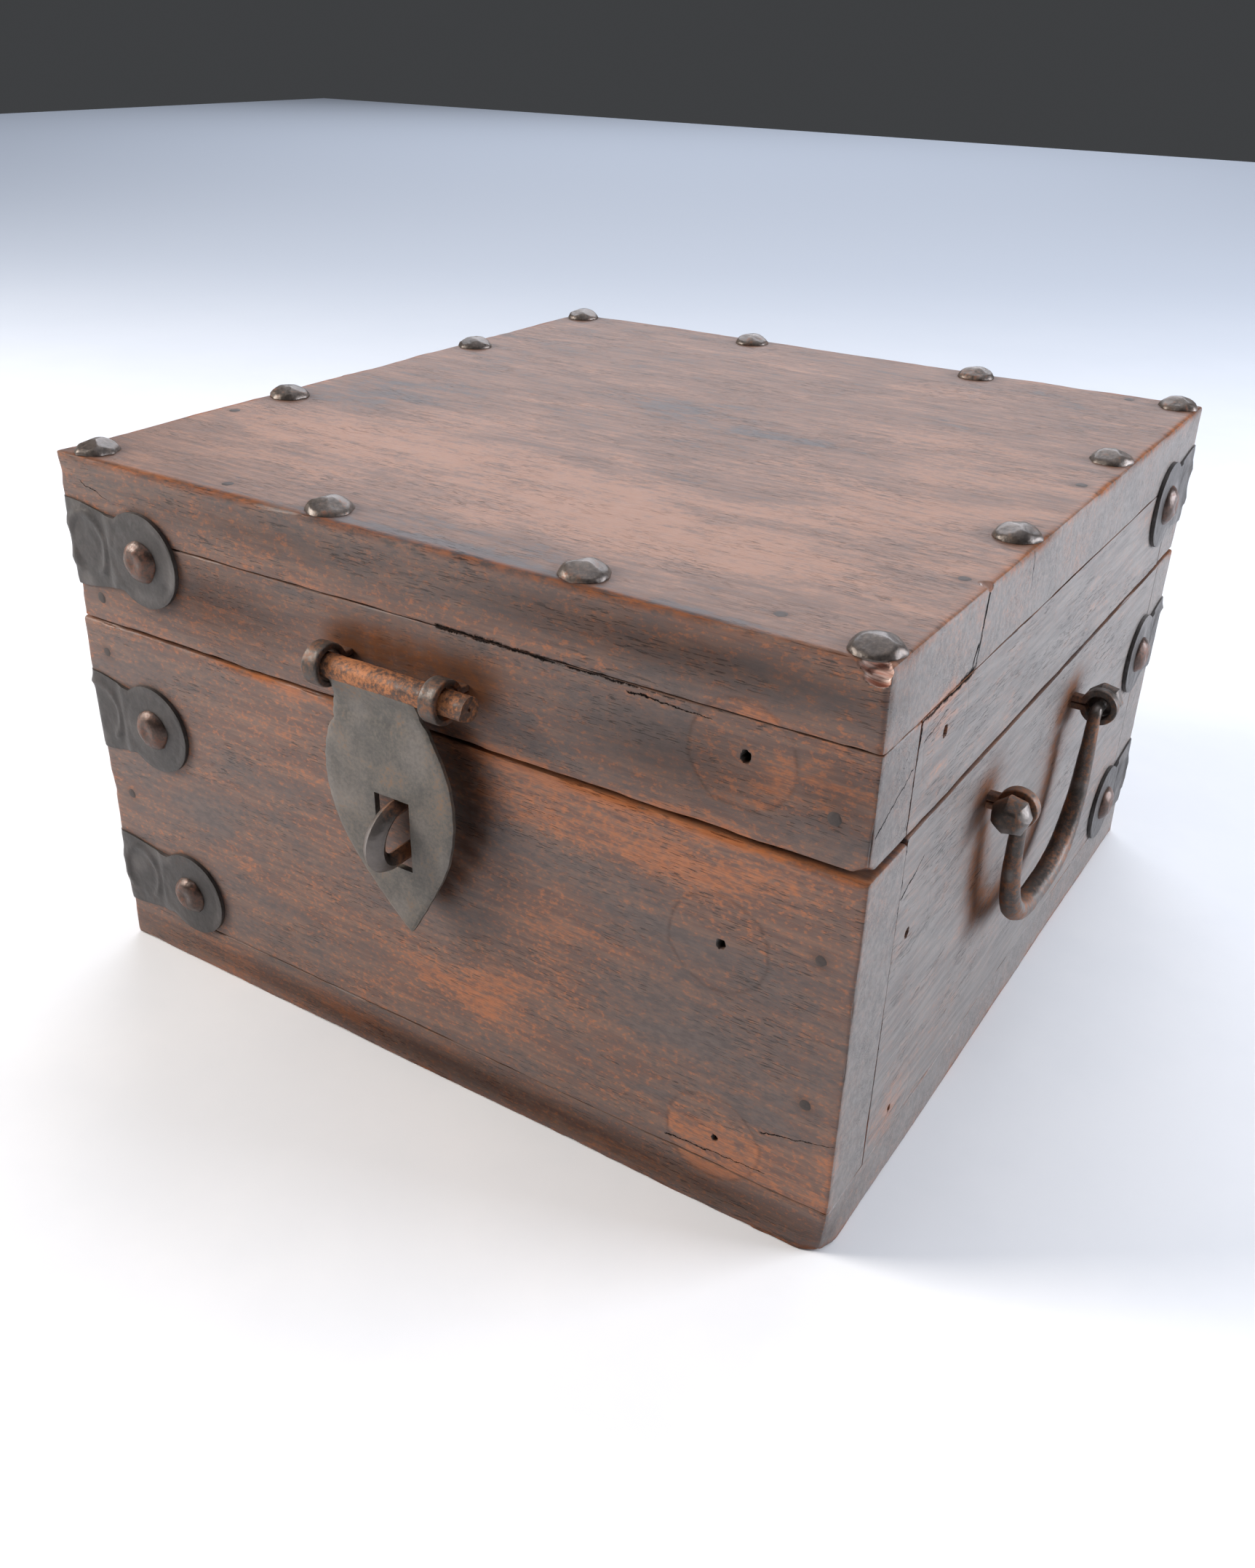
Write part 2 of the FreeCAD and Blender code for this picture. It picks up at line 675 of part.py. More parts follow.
pieces = {}
through_holes = staple_holes()
for side_name, side, outward in handle_sides:
    for end_name, end in (("front", -1), ("back", 1)):
        y = handle_centre_y + end * handle_eye_spacing / 2
        place = FreeCAD.Vector(side * half_width, y, handle_axis_height)
        pieces["handle_eye_" + side_name + "_" + end_name] = aimed(handle_eye, outward, place)
        through_holes.append(aimed(handle_slot, outward, place))
for name, side in (("hasp_eye_left", -1), ("hasp_eye_right", 1)):
    place = FreeCAD.Vector(hasp_x + side * hasp_eye_spacing / 2, -half_depth, hasp_axis_height)
    pieces[name] = aimed(hasp_eye, to_front, place)
    through_holes.append(aimed(hasp_slot, to_front, place))
empty_hole = shank_hole(empty_hole_side, empty_hole_depth)
for strap_height, drop, front_reach, side_reach in zip(
        strap_heights, lost_strap_drops, lost_strap_front_reaches, lost_strap_side_reaches):
    on_front = FreeCAD.Vector(half_width - front_reach, -half_depth, strap_height - drop)
    on_side = FreeCAD.Vector(half_width, -half_depth + side_reach, strap_height - drop)
    through_holes.append(set_at(empty_hole, on_front, to_front))
    through_holes.append(set_at(empty_hole, on_side, to_right))

pieces["staple"] = staple()
pieces["hasp"] = hasp()

# Handles
for side_name, side, outward in handle_sides:
    place = FreeCAD.Vector(side * (half_width + handle_stand_off), handle_centre_y, handle_axis_height)
    pieces["handle_" + side_name] = aimed(bail(), outward, place)

# Hinges
case_leaf = hinge_leaf(hinge_case_length, (0, 2))
lid_leaf = hinge_leaf(hinge_lid_length, (1,)).mirror(FreeCAD.Vector(0, 0, 0), up)
pin_start = FreeCAD.Vector(-hinge_width / 2 - side_play, hinge_y - half_depth, 0)
hinge_pin = Part.makeCylinder(hinge_pin_radius, hinge_width + 2 * side_play, pin_start, to_right)
for name, x in (("left", -hinge_x), ("right", hinge_x)):
    place = FreeCAD.Vector(x, half_depth, hinge_z)
    pieces["hinge_case_leaf_" + name] = aimed(case_leaf, to_right, place)
    pieces["hinge_lid_leaf_" + name] = aimed(lid_leaf, to_right, place)
    pieces["hinge_pin_" + name] = aimed(hinge_pin, to_right, place)

# Straps
straps = [corner_strap(reach) for reach in strap_reaches]


def placed_strap(strap, side_x, side_y, x, z):
    """The strap turned to one of the corners of the box."""
    origin = FreeCAD.Vector(0, 0, 0)
    shape = strap.copy()
    if side_x > 0:
        shape = shape.mirror(origin, to_right)
    if side_y > 0:
        shape = shape.mirror(origin, to_back)
    shape.translate(FreeCAD.Vector(x, side_y * half_depth, z))
    return shape


for name, side_x, side_y in strapped_corners:
    lid_x = lid_left if side_x < 0 else lid_right
    pieces["lid_strap_" + name] = placed_strap(straps[0], side_x, side_y, lid_x, strap_heights[0])
    for level, strap, z in (("upper", straps[1], strap_heights[1]), ("lower", straps[2], strap_heights[2])):
        piece_name = "case_strap_" + name + "_" + level
        pieces[piece_name] = placed_strap(strap, side_x, side_y, side_x * half_width, z)

# Wood
wood = {}
for name, board in frame_boards(-half_width, half_width, base_thickness, rim_height).items():
    wood["case_" + name] = board
for name, board in frame_boards(lid_left, lid_right, lid_bottom, plank_bottom).items():
    wood["lid_" + name] = board
wood["base_board"] = rounded_board((-half_width, half_width), (-half_depth, half_depth),
                                   (0, base_thickness), all_corners)
wood["lid_plank"] = top_plank()

# Every hole is cut in the boards; straps and hinge leaves get the holes of their own nails
all_nail_holes = [hole for group in nail_groups.values() for hole in group.holes]
strap_holes = nail_groups["lid_strap_nails"].holes + nail_groups["case_strap_nails"].holes
leaf_holes = nail_groups["hinge_lid_nails"].holes + nail_groups["hinge_case_nails"].holes
for name, board in wood.items():
    pieces[name] = drilled(board, all_nail_holes + through_holes)
for name in list(pieces):
    if "_strap_" in name:
        pieces[name] = drilled(pieces[name], strap_holes)
    if "_leaf_" in name:
        pieces[name] = drilled(pieces[name], leaf_holes)
for name, group in nail_groups.items():
    pieces[name] = Part.makeCompound(group.nails)

os.makedirs("parts", exist_ok=True)
for name, shape in pieces.items():
    shape.exportStep("parts/" + name + ".step")
print(len(pieces), "pieces written")
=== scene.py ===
import functools
import itertools
import math

import bpy
import numpy as np
from mathutils import Matrix, Vector


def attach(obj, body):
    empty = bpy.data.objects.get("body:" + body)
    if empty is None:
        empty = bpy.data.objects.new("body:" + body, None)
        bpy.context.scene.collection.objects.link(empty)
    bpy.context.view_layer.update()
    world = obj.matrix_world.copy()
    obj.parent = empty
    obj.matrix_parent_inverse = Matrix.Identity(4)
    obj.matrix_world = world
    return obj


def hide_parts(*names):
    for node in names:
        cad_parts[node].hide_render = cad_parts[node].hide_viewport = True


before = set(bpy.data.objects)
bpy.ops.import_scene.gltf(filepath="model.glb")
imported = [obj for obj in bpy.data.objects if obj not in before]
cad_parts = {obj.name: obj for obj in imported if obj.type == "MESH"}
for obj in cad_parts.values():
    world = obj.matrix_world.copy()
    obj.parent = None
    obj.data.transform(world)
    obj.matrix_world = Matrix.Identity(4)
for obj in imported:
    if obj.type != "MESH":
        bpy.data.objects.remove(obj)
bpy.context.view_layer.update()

# Lengths are millimetres in the frame of the CAD model, and MM turns them into metres.
MM = 0.001
WOOD_FRONT = -154.5
WOOD_RIGHT = 152.5
LID_TOP = 197.0
BOARD = 25.0

# The photograph's camera, solved from the straight edges of the box
FOCAL_PIXELS = 1906.8
PICTURE_HEIGHT = 2156
SENSOR = 36.0
CAMERA_AZIMUTH = math.radians(32.05)
CAMERA_ELEVATION = math.radians(29.19)
CAMERA_ROLL = math.radians(1.44)
CAMERA_PLACE = (257.1, -439.2, 330.0)

STRAP_THICKNESS = 1.6
STRAP_DISC = 16.5
STRAP_CORNER_HALF = 15.5
STRAP_NECK_HALF = 12.5
CORNER_ROUND = 2.5
# Height of each lost strap, its reach from the corner along the front and along the right side
LOST_STRAPS = ((161.8, 37.9, 44.4), (101.0, 41.4, 35.2), (29.4, 39.2, 42.5))

HASP_AXIS = (-1.9, -164.0, 155.4)
HANDLE_AXIS = (162.0, -16.0, 117.2)
EYE_HALF_SPACING = 43.5


# Numbers from noise

def hashed(cells, seed):
    """Repeatable values from 0 to 1 for whole-number cells: the fraction of a large sine."""
    mixed = cells @ np.array((127.1, 311.7, 74.7)) + seed * 19.19
    return np.modf(np.abs(np.sin(mixed) * 43758.5453))[0]


def noise(points, size, seed=0.0):
    """Smooth noise from -1 to 1: random values at the corners of cells of the given size, blended
    between the eight corners around each point. Size is one length or three."""
    place = points / size
    cell = np.floor(place)
    part = place - cell
    part = part * part * (3 - 2 * part)
    total = np.zeros(points.shape[:-1])
    for corner in itertools.product((0, 1), repeat=3):
        weight = np.prod(np.where(np.array(corner) == 1, part, 1 - part), axis=-1)
        total += weight * hashed(cell + corner, seed)
    return total * 2 - 1


def hammer_marks(points, *marks):
    """The sum of noise without its sign; each mark is a depth, a length and a seed."""
    return sum(depth * np.abs(noise(points, size, seed)) for depth, size, seed in marks)


def smooth(start, end, values):
    """A smooth step from 0 at start to 1 at end."""
    share = np.clip((values - start) / (end - start), 0, 1)
    return share * share * (3 - 2 * share)


def curve_through(known_at, known, at):
    """Values on a smooth curve through known points: between two points it is the cubic that
    keeps the slope of their neighbours."""
    slope = np.gradient(known, known_at)
    left = np.clip(np.searchsorted(known_at, at, side="right") - 1, 0, len(known_at) - 2)
    width = known_at[left + 1] - known_at[left]
    share = np.clip((at - known_at[left]) / width, 0, 1)
    low, high = known[left], known[left + 1]
    rise_low, rise_high = slope[left] * width, slope[left + 1] * width
    return (low * (1 + 2 * share) * (1 - share) ** 2 + rise_low * share * (1 - share) ** 2
            + high * share * share * (3 - 2 * share) + rise_high * share * share * (share - 1))


# Places read from the CAD model

def node_points(node):
    """The corners of a CAD node's mesh, in millimetres."""
    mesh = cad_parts[node].data
    points = np.empty(len(mesh.vertices) * 3)
    mesh.vertices.foreach_get("co", points)
    return points.reshape(-1, 3) / MM


def box_mm(node):
    """Lowest and highest corner of a CAD node, in millimetres."""
    points = node_points(node)
    return points.min(0), points.max(0)


def body_of(node):
    """The body that a fixed CAD node is on."""
    return "lid" if node.startswith(("lid", "hinge_lid", "hasp")) else "case"


def clusters(points):
    """The middles of groups of points that lie within a head's reach of each other."""
    middles = []
    while len(points):
        near = np.linalg.norm(points - points[0], axis=1) < HEAD_REACH
        group = points[near]
        middles.append((group.min(0) + group.max(0)) / 2)
        points = points[~near]
    return middles


# Where nail heads lie: the axis that they face, its side, and how far out their crowns begin
HEAD_SIDES = {
    "lid_dome_nails": ((2, 1, 201.5),),
    "lid_strap_nails": ((0, -1, 156.6), (0, 1, 158.0), (1, -1, 160.6), (1, 1, 160.6)),
    "case_strap_nails": ((0, -1, 158.6), (0, 1, 158.6), (1, -1, 160.6), (1, 1, 160.6)),
    "lid_flush_nails": ((2, 1, 196.9),),
    "base_nails": ((2, -1, -0.1),),
    **dict.fromkeys(("lid_joint_nails", "case_joint_nails"), ((1, -1, 154.4), (1, 1, 154.4))),
    **dict.fromkeys(("hinge_case_nails", "hinge_lid_nails"), ((1, -1, 158.3), (1, 1, 158.3))),
}
HEAD_REACH = 9.0


def nail_heads(node):
    """Each nail head of a node as the middle of its outermost ring and its outward direction.
    The outermost points of a nail are those furthest out along the axis that its head faces."""
    points = node_points(node)
    return [(middle, np.eye(3)[axis] * side) for axis, side, start in HEAD_SIDES[node]
            for middle in clusters(points[points[:, axis] * side > start])]


heads = {node: nail_heads(node) for node in HEAD_SIDES}


# Making meshes

SHARP_ANGLE = math.radians(38)


def new_object(name, data):
    """An object of the scene."""
    item = bpy.data.objects.new(name, data)
    bpy.context.scene.collection.objects.link(item)
    return item


def piece(name, points, faces, body, replaced, slot, material, attributes):
    """An object of welded points that rides a CAD body and stands for CAD nodes."""
    mesh = bpy.data.meshes.new(name)
    mesh.from_pydata((np.asarray(points) * MM).tolist(), [], faces)
    mesh.update()
    mesh.shade_smooth()
    mesh.set_sharp_from_angle(angle=SHARP_ANGLE)
    for key, values in attributes.items():
        values = np.asarray(values, np.float32)
        kind = "FLOAT_VECTOR" if values.ndim > 1 else "FLOAT"
        attribute = mesh.attributes.new(key, kind, "POINT")
        attribute.data.foreach_set("vector" if values.ndim > 1 else "value", values.ravel())
    mesh.materials.append(material)
    item = new_object(name, mesh)
    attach(item, body)
    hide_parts(*replaced)


def joined(parts):
    """Points and faces of several solids as one list of each."""
    points, faces, count = [], [], 0
    for part_points, part_faces in parts:
        points.append(part_points)
        faces += [[index + count for index in face] for face in part_faces]
        count += len(part_points)
    return np.concatenate(points), faces


def swept(path, side_a, side_b, section, *marks):
    """A closed solid: a section carried along a path. The section is an array (rings, corners, 2)
    of distances along two side directions, hammer marks shrink it, and its ends are flat."""
    side_a, side_b = (np.broadcast_to(side, path.shape)[:, None] for side in (side_a, side_b))

    def placed(around):
        return path[:, None] + around[..., :1] * side_a + around[..., 1:] * side_b

    rings = placed(section * (1 - hammer_marks(placed(section), *marks))[..., None])
    count, corners = rings.shape[:2]
    index = np.arange(count * corners).reshape(count, corners)
    after = np.roll(index, -1, axis=1)
    quads = stacked(index[:-1], after[:-1], after[1:], index[1:]).reshape(-1, 4).tolist()
    return rings.reshape(-1, 3), quads + [index[0][::-1].tolist(), index[-1].tolist()]


def second_side(path, across):
    """The second side direction of a path that bends in one plane: its tangent turned by a right
    angle, as tangent x across."""
    tangent = np.gradient(path, axis=0)
    tangent /= np.linalg.norm(tangent, axis=1, keepdims=True)
    return np.cross(tangent, across)


def stacked(*coordinates):
    """Points from their coordinates, which are arrays or single numbers."""
    return np.stack(np.broadcast_arrays(*coordinates), -1)


def unit(turn):
    """Points of a circle of radius 1, as cosines and sines."""
    return stacked(np.cos(turn), np.sin(turn))


def circle(corners):
    """A circle of radius 1 with evenly spaced corners."""
    return unit(np.linspace(0, 2 * math.pi, corners, endpoint=False))


ALONG_X, ALONG_Y, ALONG_Z = np.eye(3)


def forged_bar(path, radii, corners, facets, hammer, seed, flats, flat_share):
    """A hammered bar: rings along a path, each a circle blended with a polygon of some flats, whose
    radius is pressed in by long facets and by small hammer marks of noise."""
    ring = circle(corners)
    turn = np.arctan2(ring[:, 1], ring[:, 0]) % (2 * math.pi / flats) - math.pi / flats
    ring = ring * (1 - flat_share + flat_share * math.cos(math.pi / flats) / np.cos(turn))[:, None]
    return swept(path, ALONG_X, second_side(path, ALONG_X), ring[None] * np.asarray(radii)[:, None, None],
                 (0.7 * hammer, facets, seed), (0.3 * hammer, facets / 3, seed + 5))


def grid_quads(index):
    """The cells of a grid of point numbers, each as its four corners."""
    return stacked(index[:-1, :-1], index[1:, :-1], index[1:, 1:], index[:-1, 1:])


def plate(front, back, kept):
    """A closed sheet between two grids of points (rows, columns, 3). Cells where kept is false
    are left out, and every open edge gets a narrow side face."""
    rows, columns = kept.shape
    index = np.arange((rows + 1) * (columns + 1)).reshape(rows + 1, columns + 1)
    quads = grid_quads(index)[kept]
    offset = index.size
    edges = np.concatenate([quads[:, (k, (k + 1) % 4)] for k in range(4)])
    keys = edges.min(1) * offset + edges.max(1)
    first, counts = np.unique(keys, return_index=True, return_counts=True)[1:]
    rim = edges[first[counts == 1]]
    sides = stacked(rim[:, 1], rim[:, 0], rim[:, 0] + offset, rim[:, 1] + offset)
    faces = np.concatenate((quads, quads[:, ::-1] + offset, sides))
    points = np.concatenate((front.reshape(-1, 3), back.reshape(-1, 3)))
    used = np.unique(faces)
    renumbered = np.zeros(len(points), int)
    renumbered[used] = np.arange(len(used))
    return points[used], renumbered[faces].tolist()


def box_surface(lines):
    """The six sides of a box as grids of quads on the given lines of each axis, welded."""
    points, quads, count = [], [], 0
    for axis, (a, b) in enumerate(((1, 2), (2, 0), (0, 1))):
        for side in (0, -1):
            grid = np.empty((len(lines[a]), len(lines[b]), 3))
            grid[..., axis] = lines[axis][side]
            grid[..., a] = lines[a][:, None]
            grid[..., b] = lines[b][None, :]
            index = count + np.arange(grid[..., 0].size).reshape(grid.shape[:2])
            quad = grid_quads(index).reshape(-1, 4)
            quads.append(quad if side else quad[:, ::-1])
            points.append(grid.reshape(-1, 3))
            count += index.size
    unique, inverse = np.unique(np.concatenate(points), axis=0, return_inverse=True)
    return unique, inverse.reshape(-1)[np.concatenate(quads)]


# Materials

def colour(code):
    """A linear colour from an sRGB hex code."""
    values = [int(code[i:i + 2], 16) / 255 for i in (0, 2, 4)]
    linear = [v / 12.92 if v <= 0.04045 else ((v + 0.055) / 1.055) ** 2.4 for v in values]
    return (*linear, 1.0)


def add(tree, kind, inputs=None, result=0, **settings):
    """Adds a shader node with settings, sets or links its inputs, and returns one output."""
    item = tree.nodes.new(kind)
    for key, value in settings.items():
        setattr(item, key, value)
    for key, value in (inputs or {}).items():
        if isinstance(value, bpy.types.NodeSocket):
            tree.links.new(value, item.inputs[key])
        else:
            item.inputs[key].default_value = value
    return item.outputs[result]


class Shader:
    """The nodes of a new material, with a method for each kind of step."""

    def __init__(self, name):
        self.material = bpy.data.materials.new(name)
        self.material.use_nodes = True
        self.tree = self.material.node_tree
        self.tree.nodes.clear()

    def math(self, operation, *values):
        """One step of arithmetic."""
        return add(self.tree, "ShaderNodeMath", dict(enumerate(values)), operation=operation)

    def product(self, *values):
        """All values multiplied."""
        return functools.reduce(functools.partial(self.math, "MULTIPLY"), values)

    def highest(self, *values):
        """The largest of the values."""
        return functools.reduce(functools.partial(self.math, "MAXIMUM"), values)

    def weighted(self, start, *parts):
        """A start value plus parts that each count with a weight."""
        for part, weight in parts:
            start = self.math("MULTIPLY_ADD", part, weight, start)
        return start

    def step(self, value, start, end, low=0.0, high=1.0):
        """A smooth step of a value between two limits."""
        return add(self.tree, "ShaderNodeMapRange", {0: value, 1: start, 2: end, 3: low, 4: high},
                   interpolation_type="SMOOTHSTEP")

    def mix(self, share, first, second):
        """Two colours mixed by a share; a colour is a hex code or comes from another step."""
        first, second = (colour(c) if isinstance(c, str) else c for c in (first, second))
        return add(self.tree, "ShaderNodeMix", {0: share, 6: first, 7: second}, 2, data_type="RGBA")

    def value(self, name, result="Fac"):
        """A value that the mesh carries at each point."""
        return add(self.tree, "ShaderNodeAttribute", attribute_name=name, result=result)

    def vector(self, operation, first, second, result=0):
        """One step of arithmetic on vectors."""
        return add(self.tree, "ShaderNodeVectorMath", {0: first, 1: second}, result, operation=operation)

    def dot(self, first, second):
        """How far a vector reaches along another."""
        return self.vector("DOT_PRODUCT", first, second, "Value")

    def noise(self, place, sizes, detail=4.0, roughness=0.6, distortion=0.0):
        """Noise whose lumps have the given three sizes in millimetres along the place's axes."""
        scaled = self.vector("MULTIPLY", place, [1 / size for size in sizes])
        return add(self.tree, "ShaderNodeTexNoise", {"Vector": scaled, "Scale": 1.0, "Detail": detail,
                                                     "Roughness": roughness, "Distortion": distortion})

    def place_mm(self):
        """The place on the object in millimetres."""
        own = add(self.tree, "ShaderNodeTexCoord", result="Object")
        return add(self.tree, "ShaderNodeVectorMath", {0: own, "Scale": 1 / MM}, operation="SCALE")

    def distance(self, place, centre, ignored_axis):
        """The distance from a centre on a face, measured without one axis."""
        flat = self.vector("MULTIPLY", self.vector("SUBTRACT", place, centre), 1 - np.eye(3)[ignored_axis])
        return add(self.tree, "ShaderNodeVectorMath", {0: flat}, "Value", operation="LENGTH")

    def band(self, value, low, high, blur):
        """1 where a value lies between two limits and 0 outside them."""
        return self.product(self.step(value, low - blur, low + blur),
                            self.step(value, high - blur, high + blur, 1.0, 0.0))

    def crack(self, place, wander, start, end, ignored_axis, width):
        """1 on a thin line between two points of a face and 0 beside it. The line wanders with
        noise, and it gets thinner towards its end."""
        along = np.subtract(end, start)
        length = np.linalg.norm(along)
        along /= length
        offset = self.vector("SUBTRACT", place, start)
        run = self.dot(offset, along)
        off = self.math("ADD", self.dot(offset, np.cross(np.eye(3)[ignored_axis], along)), wander)
        half = self.step(run, 0.0, length, width / 2, width / 5)
        inside = self.math("SUBTRACT", half, self.math("ABSOLUTE", off))
        return self.product(self.step(inside, -width / 4, width / 4), self.band(run, 0.0, length, 0.6))

    def finished(self, surface, height, depth):
        """A surface shader from its inputs, with a bump from a height and a depth in millimetres."""
        surface = add(self.tree, "ShaderNodeBsdfPrincipled", surface)
        bump = add(self.tree, "ShaderNodeBump", {"Height": height, "Distance": depth * MM, "Strength": 1.0})
        self.tree.links.new(bump, surface.node.inputs["Normal"])
        self.tree.links.new(surface, self.tree.nodes.new("ShaderNodeOutputMaterial").inputs["Surface"])
        return self.material


# Cracks on the wood: where they start and end on their face, and their width. On the right: y and z
CRACKS = [((WOOD_RIGHT, y, z), (WOOD_RIGHT, y_end, z_end), 0, width) for y, z, y_end, z_end, width in (
    (-89.5, 197, -92, 173, 1.5), (-92, 181, -96, 172.4, 1.2), (-93, 173.4, -129.5, 172.2, 2.2),
    (-129.3, 172.8, -130.2, 138.2, 0.9), (-129.5, 137, -129.8, 104, 0.6), (-129.6, 84, -129.4, 62, 0.5),
    (-128.5, 117.5, -114, 124, 0.6), (-52, 196, -50, 184, 0.35), (-153, 149, -131, 160, 0.5),
    (-126, 165, -110, 168.5, 0.3))]
# On the front: x and z
CRACKS += [((x, WOOD_FRONT, z), (x_end, WOOD_FRONT, z_end), 1, width) for x, z, x_end, z_end, width in (
    (128.4, 39.6, 152.7, 46, 0.35), (96, 22.5, 131, 24.5, 0.4), (12, 173.2, 96, 172.4, 1.4),
    (78, 170.6, 104, 169.6, 0.5), (-140, 188, -128, 184, 0.3))]


def wood_material():
    """Old hardwood, oiled and rubbed by hands: dark patina over red brown wood that shows through
    in streaks and small flecks along the grain, with fine dark pores. It gives the eye its age."""
    s = Shader("old oiled hardwood, hand rubbed")
    grain = s.value("grain", "Vector")
    place = s.place_mm()
    facing = add(s.tree, "ShaderNodeTexCoord", result="Normal")
    front, right, top = (s.step(s.dot(facing, way), 0.6, 0.8) for way in (-ALONG_Y, ALONG_X, ALONG_Z))

    broad = s.noise(grain, (46, 17, 17), 6.0, 0.6, 0.8)
    streaks = s.noise(grain, (24, 2.2, 2.2), 5.0, 0.62, 0.4)
    fibres = s.noise(grain, (7, 0.5, 0.5), 3.0, 0.6, 0.2)
    mottle = s.noise(grain, (5, 2.4, 2.4), 6.0, 0.66)
    flecks = s.noise(grain, (1.9, 1.2, 1.2), 3.0, 0.6)
    pores = s.product(s.step(s.noise(grain, (4.6, 0.36, 0.36), 1.5, 0.5), 0.6, 0.66),
                      s.step(s.noise(grain, (30, 10, 10), 2.0), 0.42, 0.66))

    # Marks of the lost straps: each disc and arm is redder than the patina around it
    shift = s.weighted(-1.5, (s.noise(place, (9, 9, 9), 2.0), 3.0))
    warped = s.vector("ADD", place, add(s.tree, "ShaderNodeCombineXYZ", {0: shift, 1: shift, 2: shift}))
    x, y, z = add(s.tree, "ShaderNodeSeparateXYZ", {0: warped}).node.outputs
    ghosts, rings = [], []
    for (height, on_front, on_side), strength in zip(LOST_STRAPS, (1.0, 0.3, 0.9)):
        centre = (WOOD_RIGHT - on_front - 1.0, WOOD_FRONT + on_side, height)
        for axis, normal, share in ((1, front, 1.0), (0, right, 0.2)):
            distance = s.distance(warped, centre, axis)
            disc = s.step(distance, STRAP_DISC - 0.9, STRAP_DISC + 0.9, 1.0, 0.0)
            inner = s.step(distance, STRAP_DISC - 1.7, STRAP_DISC - 0.3, 1.0, 0.0)
            run = (s.band(x, centre[0], WOOD_RIGHT + 9, 0.8) if axis == 1
                   else s.band(y, WOOD_FRONT - 9, centre[1], 0.8))
            arm = s.product(run, s.band(z, height - 12.8, height + 12.8, 1.2), 0.6)
            ghosts.append(s.product(s.highest(disc, arm), normal, strength * share))
            rings.append(s.product(s.math("SUBTRACT", disc, inner), normal))
    ghost, ring = s.highest(*ghosts), s.highest(*rings)

    tone = s.weighted(s.value("rub"), (broad, 0.7), (streaks, 0.3), (mottle, 0.5), (fibres, 0.2),
                      (flecks, 0.3))
    tone = s.weighted(s.math("SUBTRACT", tone, 1.0), (s.product(ghost, broad), 0.34))

    patina = s.mix(s.step(mottle, 0.35, 0.65), "594e4b", "6b5e5a")
    brown = s.mix(s.step(streaks, 0.35, 0.65), "6a4f45", "7b6053")
    orange = s.mix(s.step(fibres, 0.3, 0.7), "955b3d", "b1724d")
    base = s.mix(s.step(tone, -0.2, 0.1), patina, brown)
    base = s.mix(s.step(tone, 0.07, 0.33), base, orange)
    speck = s.product(s.step(flecks, 0.52, 0.68), s.step(tone, -0.16, 0.16, 0.0, 0.6))
    base = s.mix(speck, base, "b06c44")
    polished = s.mix(s.step(streaks, 0.3, 0.7), "634637", "775644")
    worn_top = s.mix(s.step(tone, -0.24, 0.02), "534b4b", polished)
    base = s.mix(top, base, s.mix(s.step(tone, 0.02, 0.28), worn_top, "8d6248"))
    base = s.mix(s.product(ring, s.step(mottle, 0.36, 0.6, 0.05, 0.55)), base, "32241f")
    # Faces that look right turn grey: partly dust, partly a painted sheen where the side reflects the bright
    # floor
    dust_and_sheen = s.mix(s.step(streaks, 0.3, 0.7), "64615f", "797673")
    base = s.mix(s.product(right, s.step(tone, -0.05, 0.4, 0.86, 0.45)), base, dust_and_sheen)

    # Edges are rubbed through in an uneven line, grime collects round the irons, and rust stains the wood
    # behind them. The same dark colour also paints shade beside the hasp's leaf, behind its slot, on wide
    # places of the front and behind the handles.
    edge, grime_and_shade, rust, raw, inside = (s.value(name) for name in ("edge", "grime_and_shade", "rust", "raw", "inside"))
    base = s.mix(s.product(edge, s.step(mottle, 0.36, 0.62), 0.58), base, "a8633a")
    base = s.mix(s.product(grime_and_shade, s.step(mottle, 0.2, 0.6, 0.55, 0.95)), base, "2a2220")
    base = s.mix(s.product(rust, s.step(mottle, 0.3, 0.62, 0.25, 0.9)), base, "744a30")

    # Raw wood at splinters, and unpolished dusty faces inside
    splinter = s.mix(s.step(streaks, 0.35, 0.65), "cc917c", "f6e6dc")
    base = s.mix(s.product(raw, s.step(fibres, 0.3, 0.6, 0.6, 1.0)), base, splinter)
    base = s.mix(s.product(inside, 0.55), base, s.mix(streaks, "4c3628", "7d5f49"))

    wander = s.weighted(-1.7, (s.noise(place, (5, 5, 5), 5.0, 0.75), 3.4))
    cracks = s.highest(*(s.product(s.crack(place, wander, start, end, axis, width), (right, front)[axis])
                         for start, end, axis, width in CRACKS))
    dark = s.highest(cracks, s.value("hole"))
    base = s.mix(s.product(pores, 0.7), base, "1a1310")
    base = s.mix(dark, base, "0b0807")

    # Dirt and painted shade, rust, cracks and rubbed edges are matt, and the oiled wood between them has a
    # sheen
    matt = s.highest(grime_and_shade, rust, dark, edge)
    roughness = s.weighted(s.step(tone, -0.2, 0.3, 0.54, 0.46), (mottle, 0.2))
    roughness = s.highest(s.math("SUBTRACT", roughness, 0.1), s.product(inside, 0.7), s.product(matt, 0.8))
    height = s.weighted(s.product(fibres, 0.22), (pores, -0.6), (streaks, 0.35), (mottle, 0.25),
                        (cracks, -1.6), (ring, -0.2))
    return s.finished({"Base Color": base, "Roughness": roughness, "IOR": 1.48,
                       "Specular IOR Level": s.step(matt, 0.1, 0.8, 0.5, 0.04)}, height, 0.34)


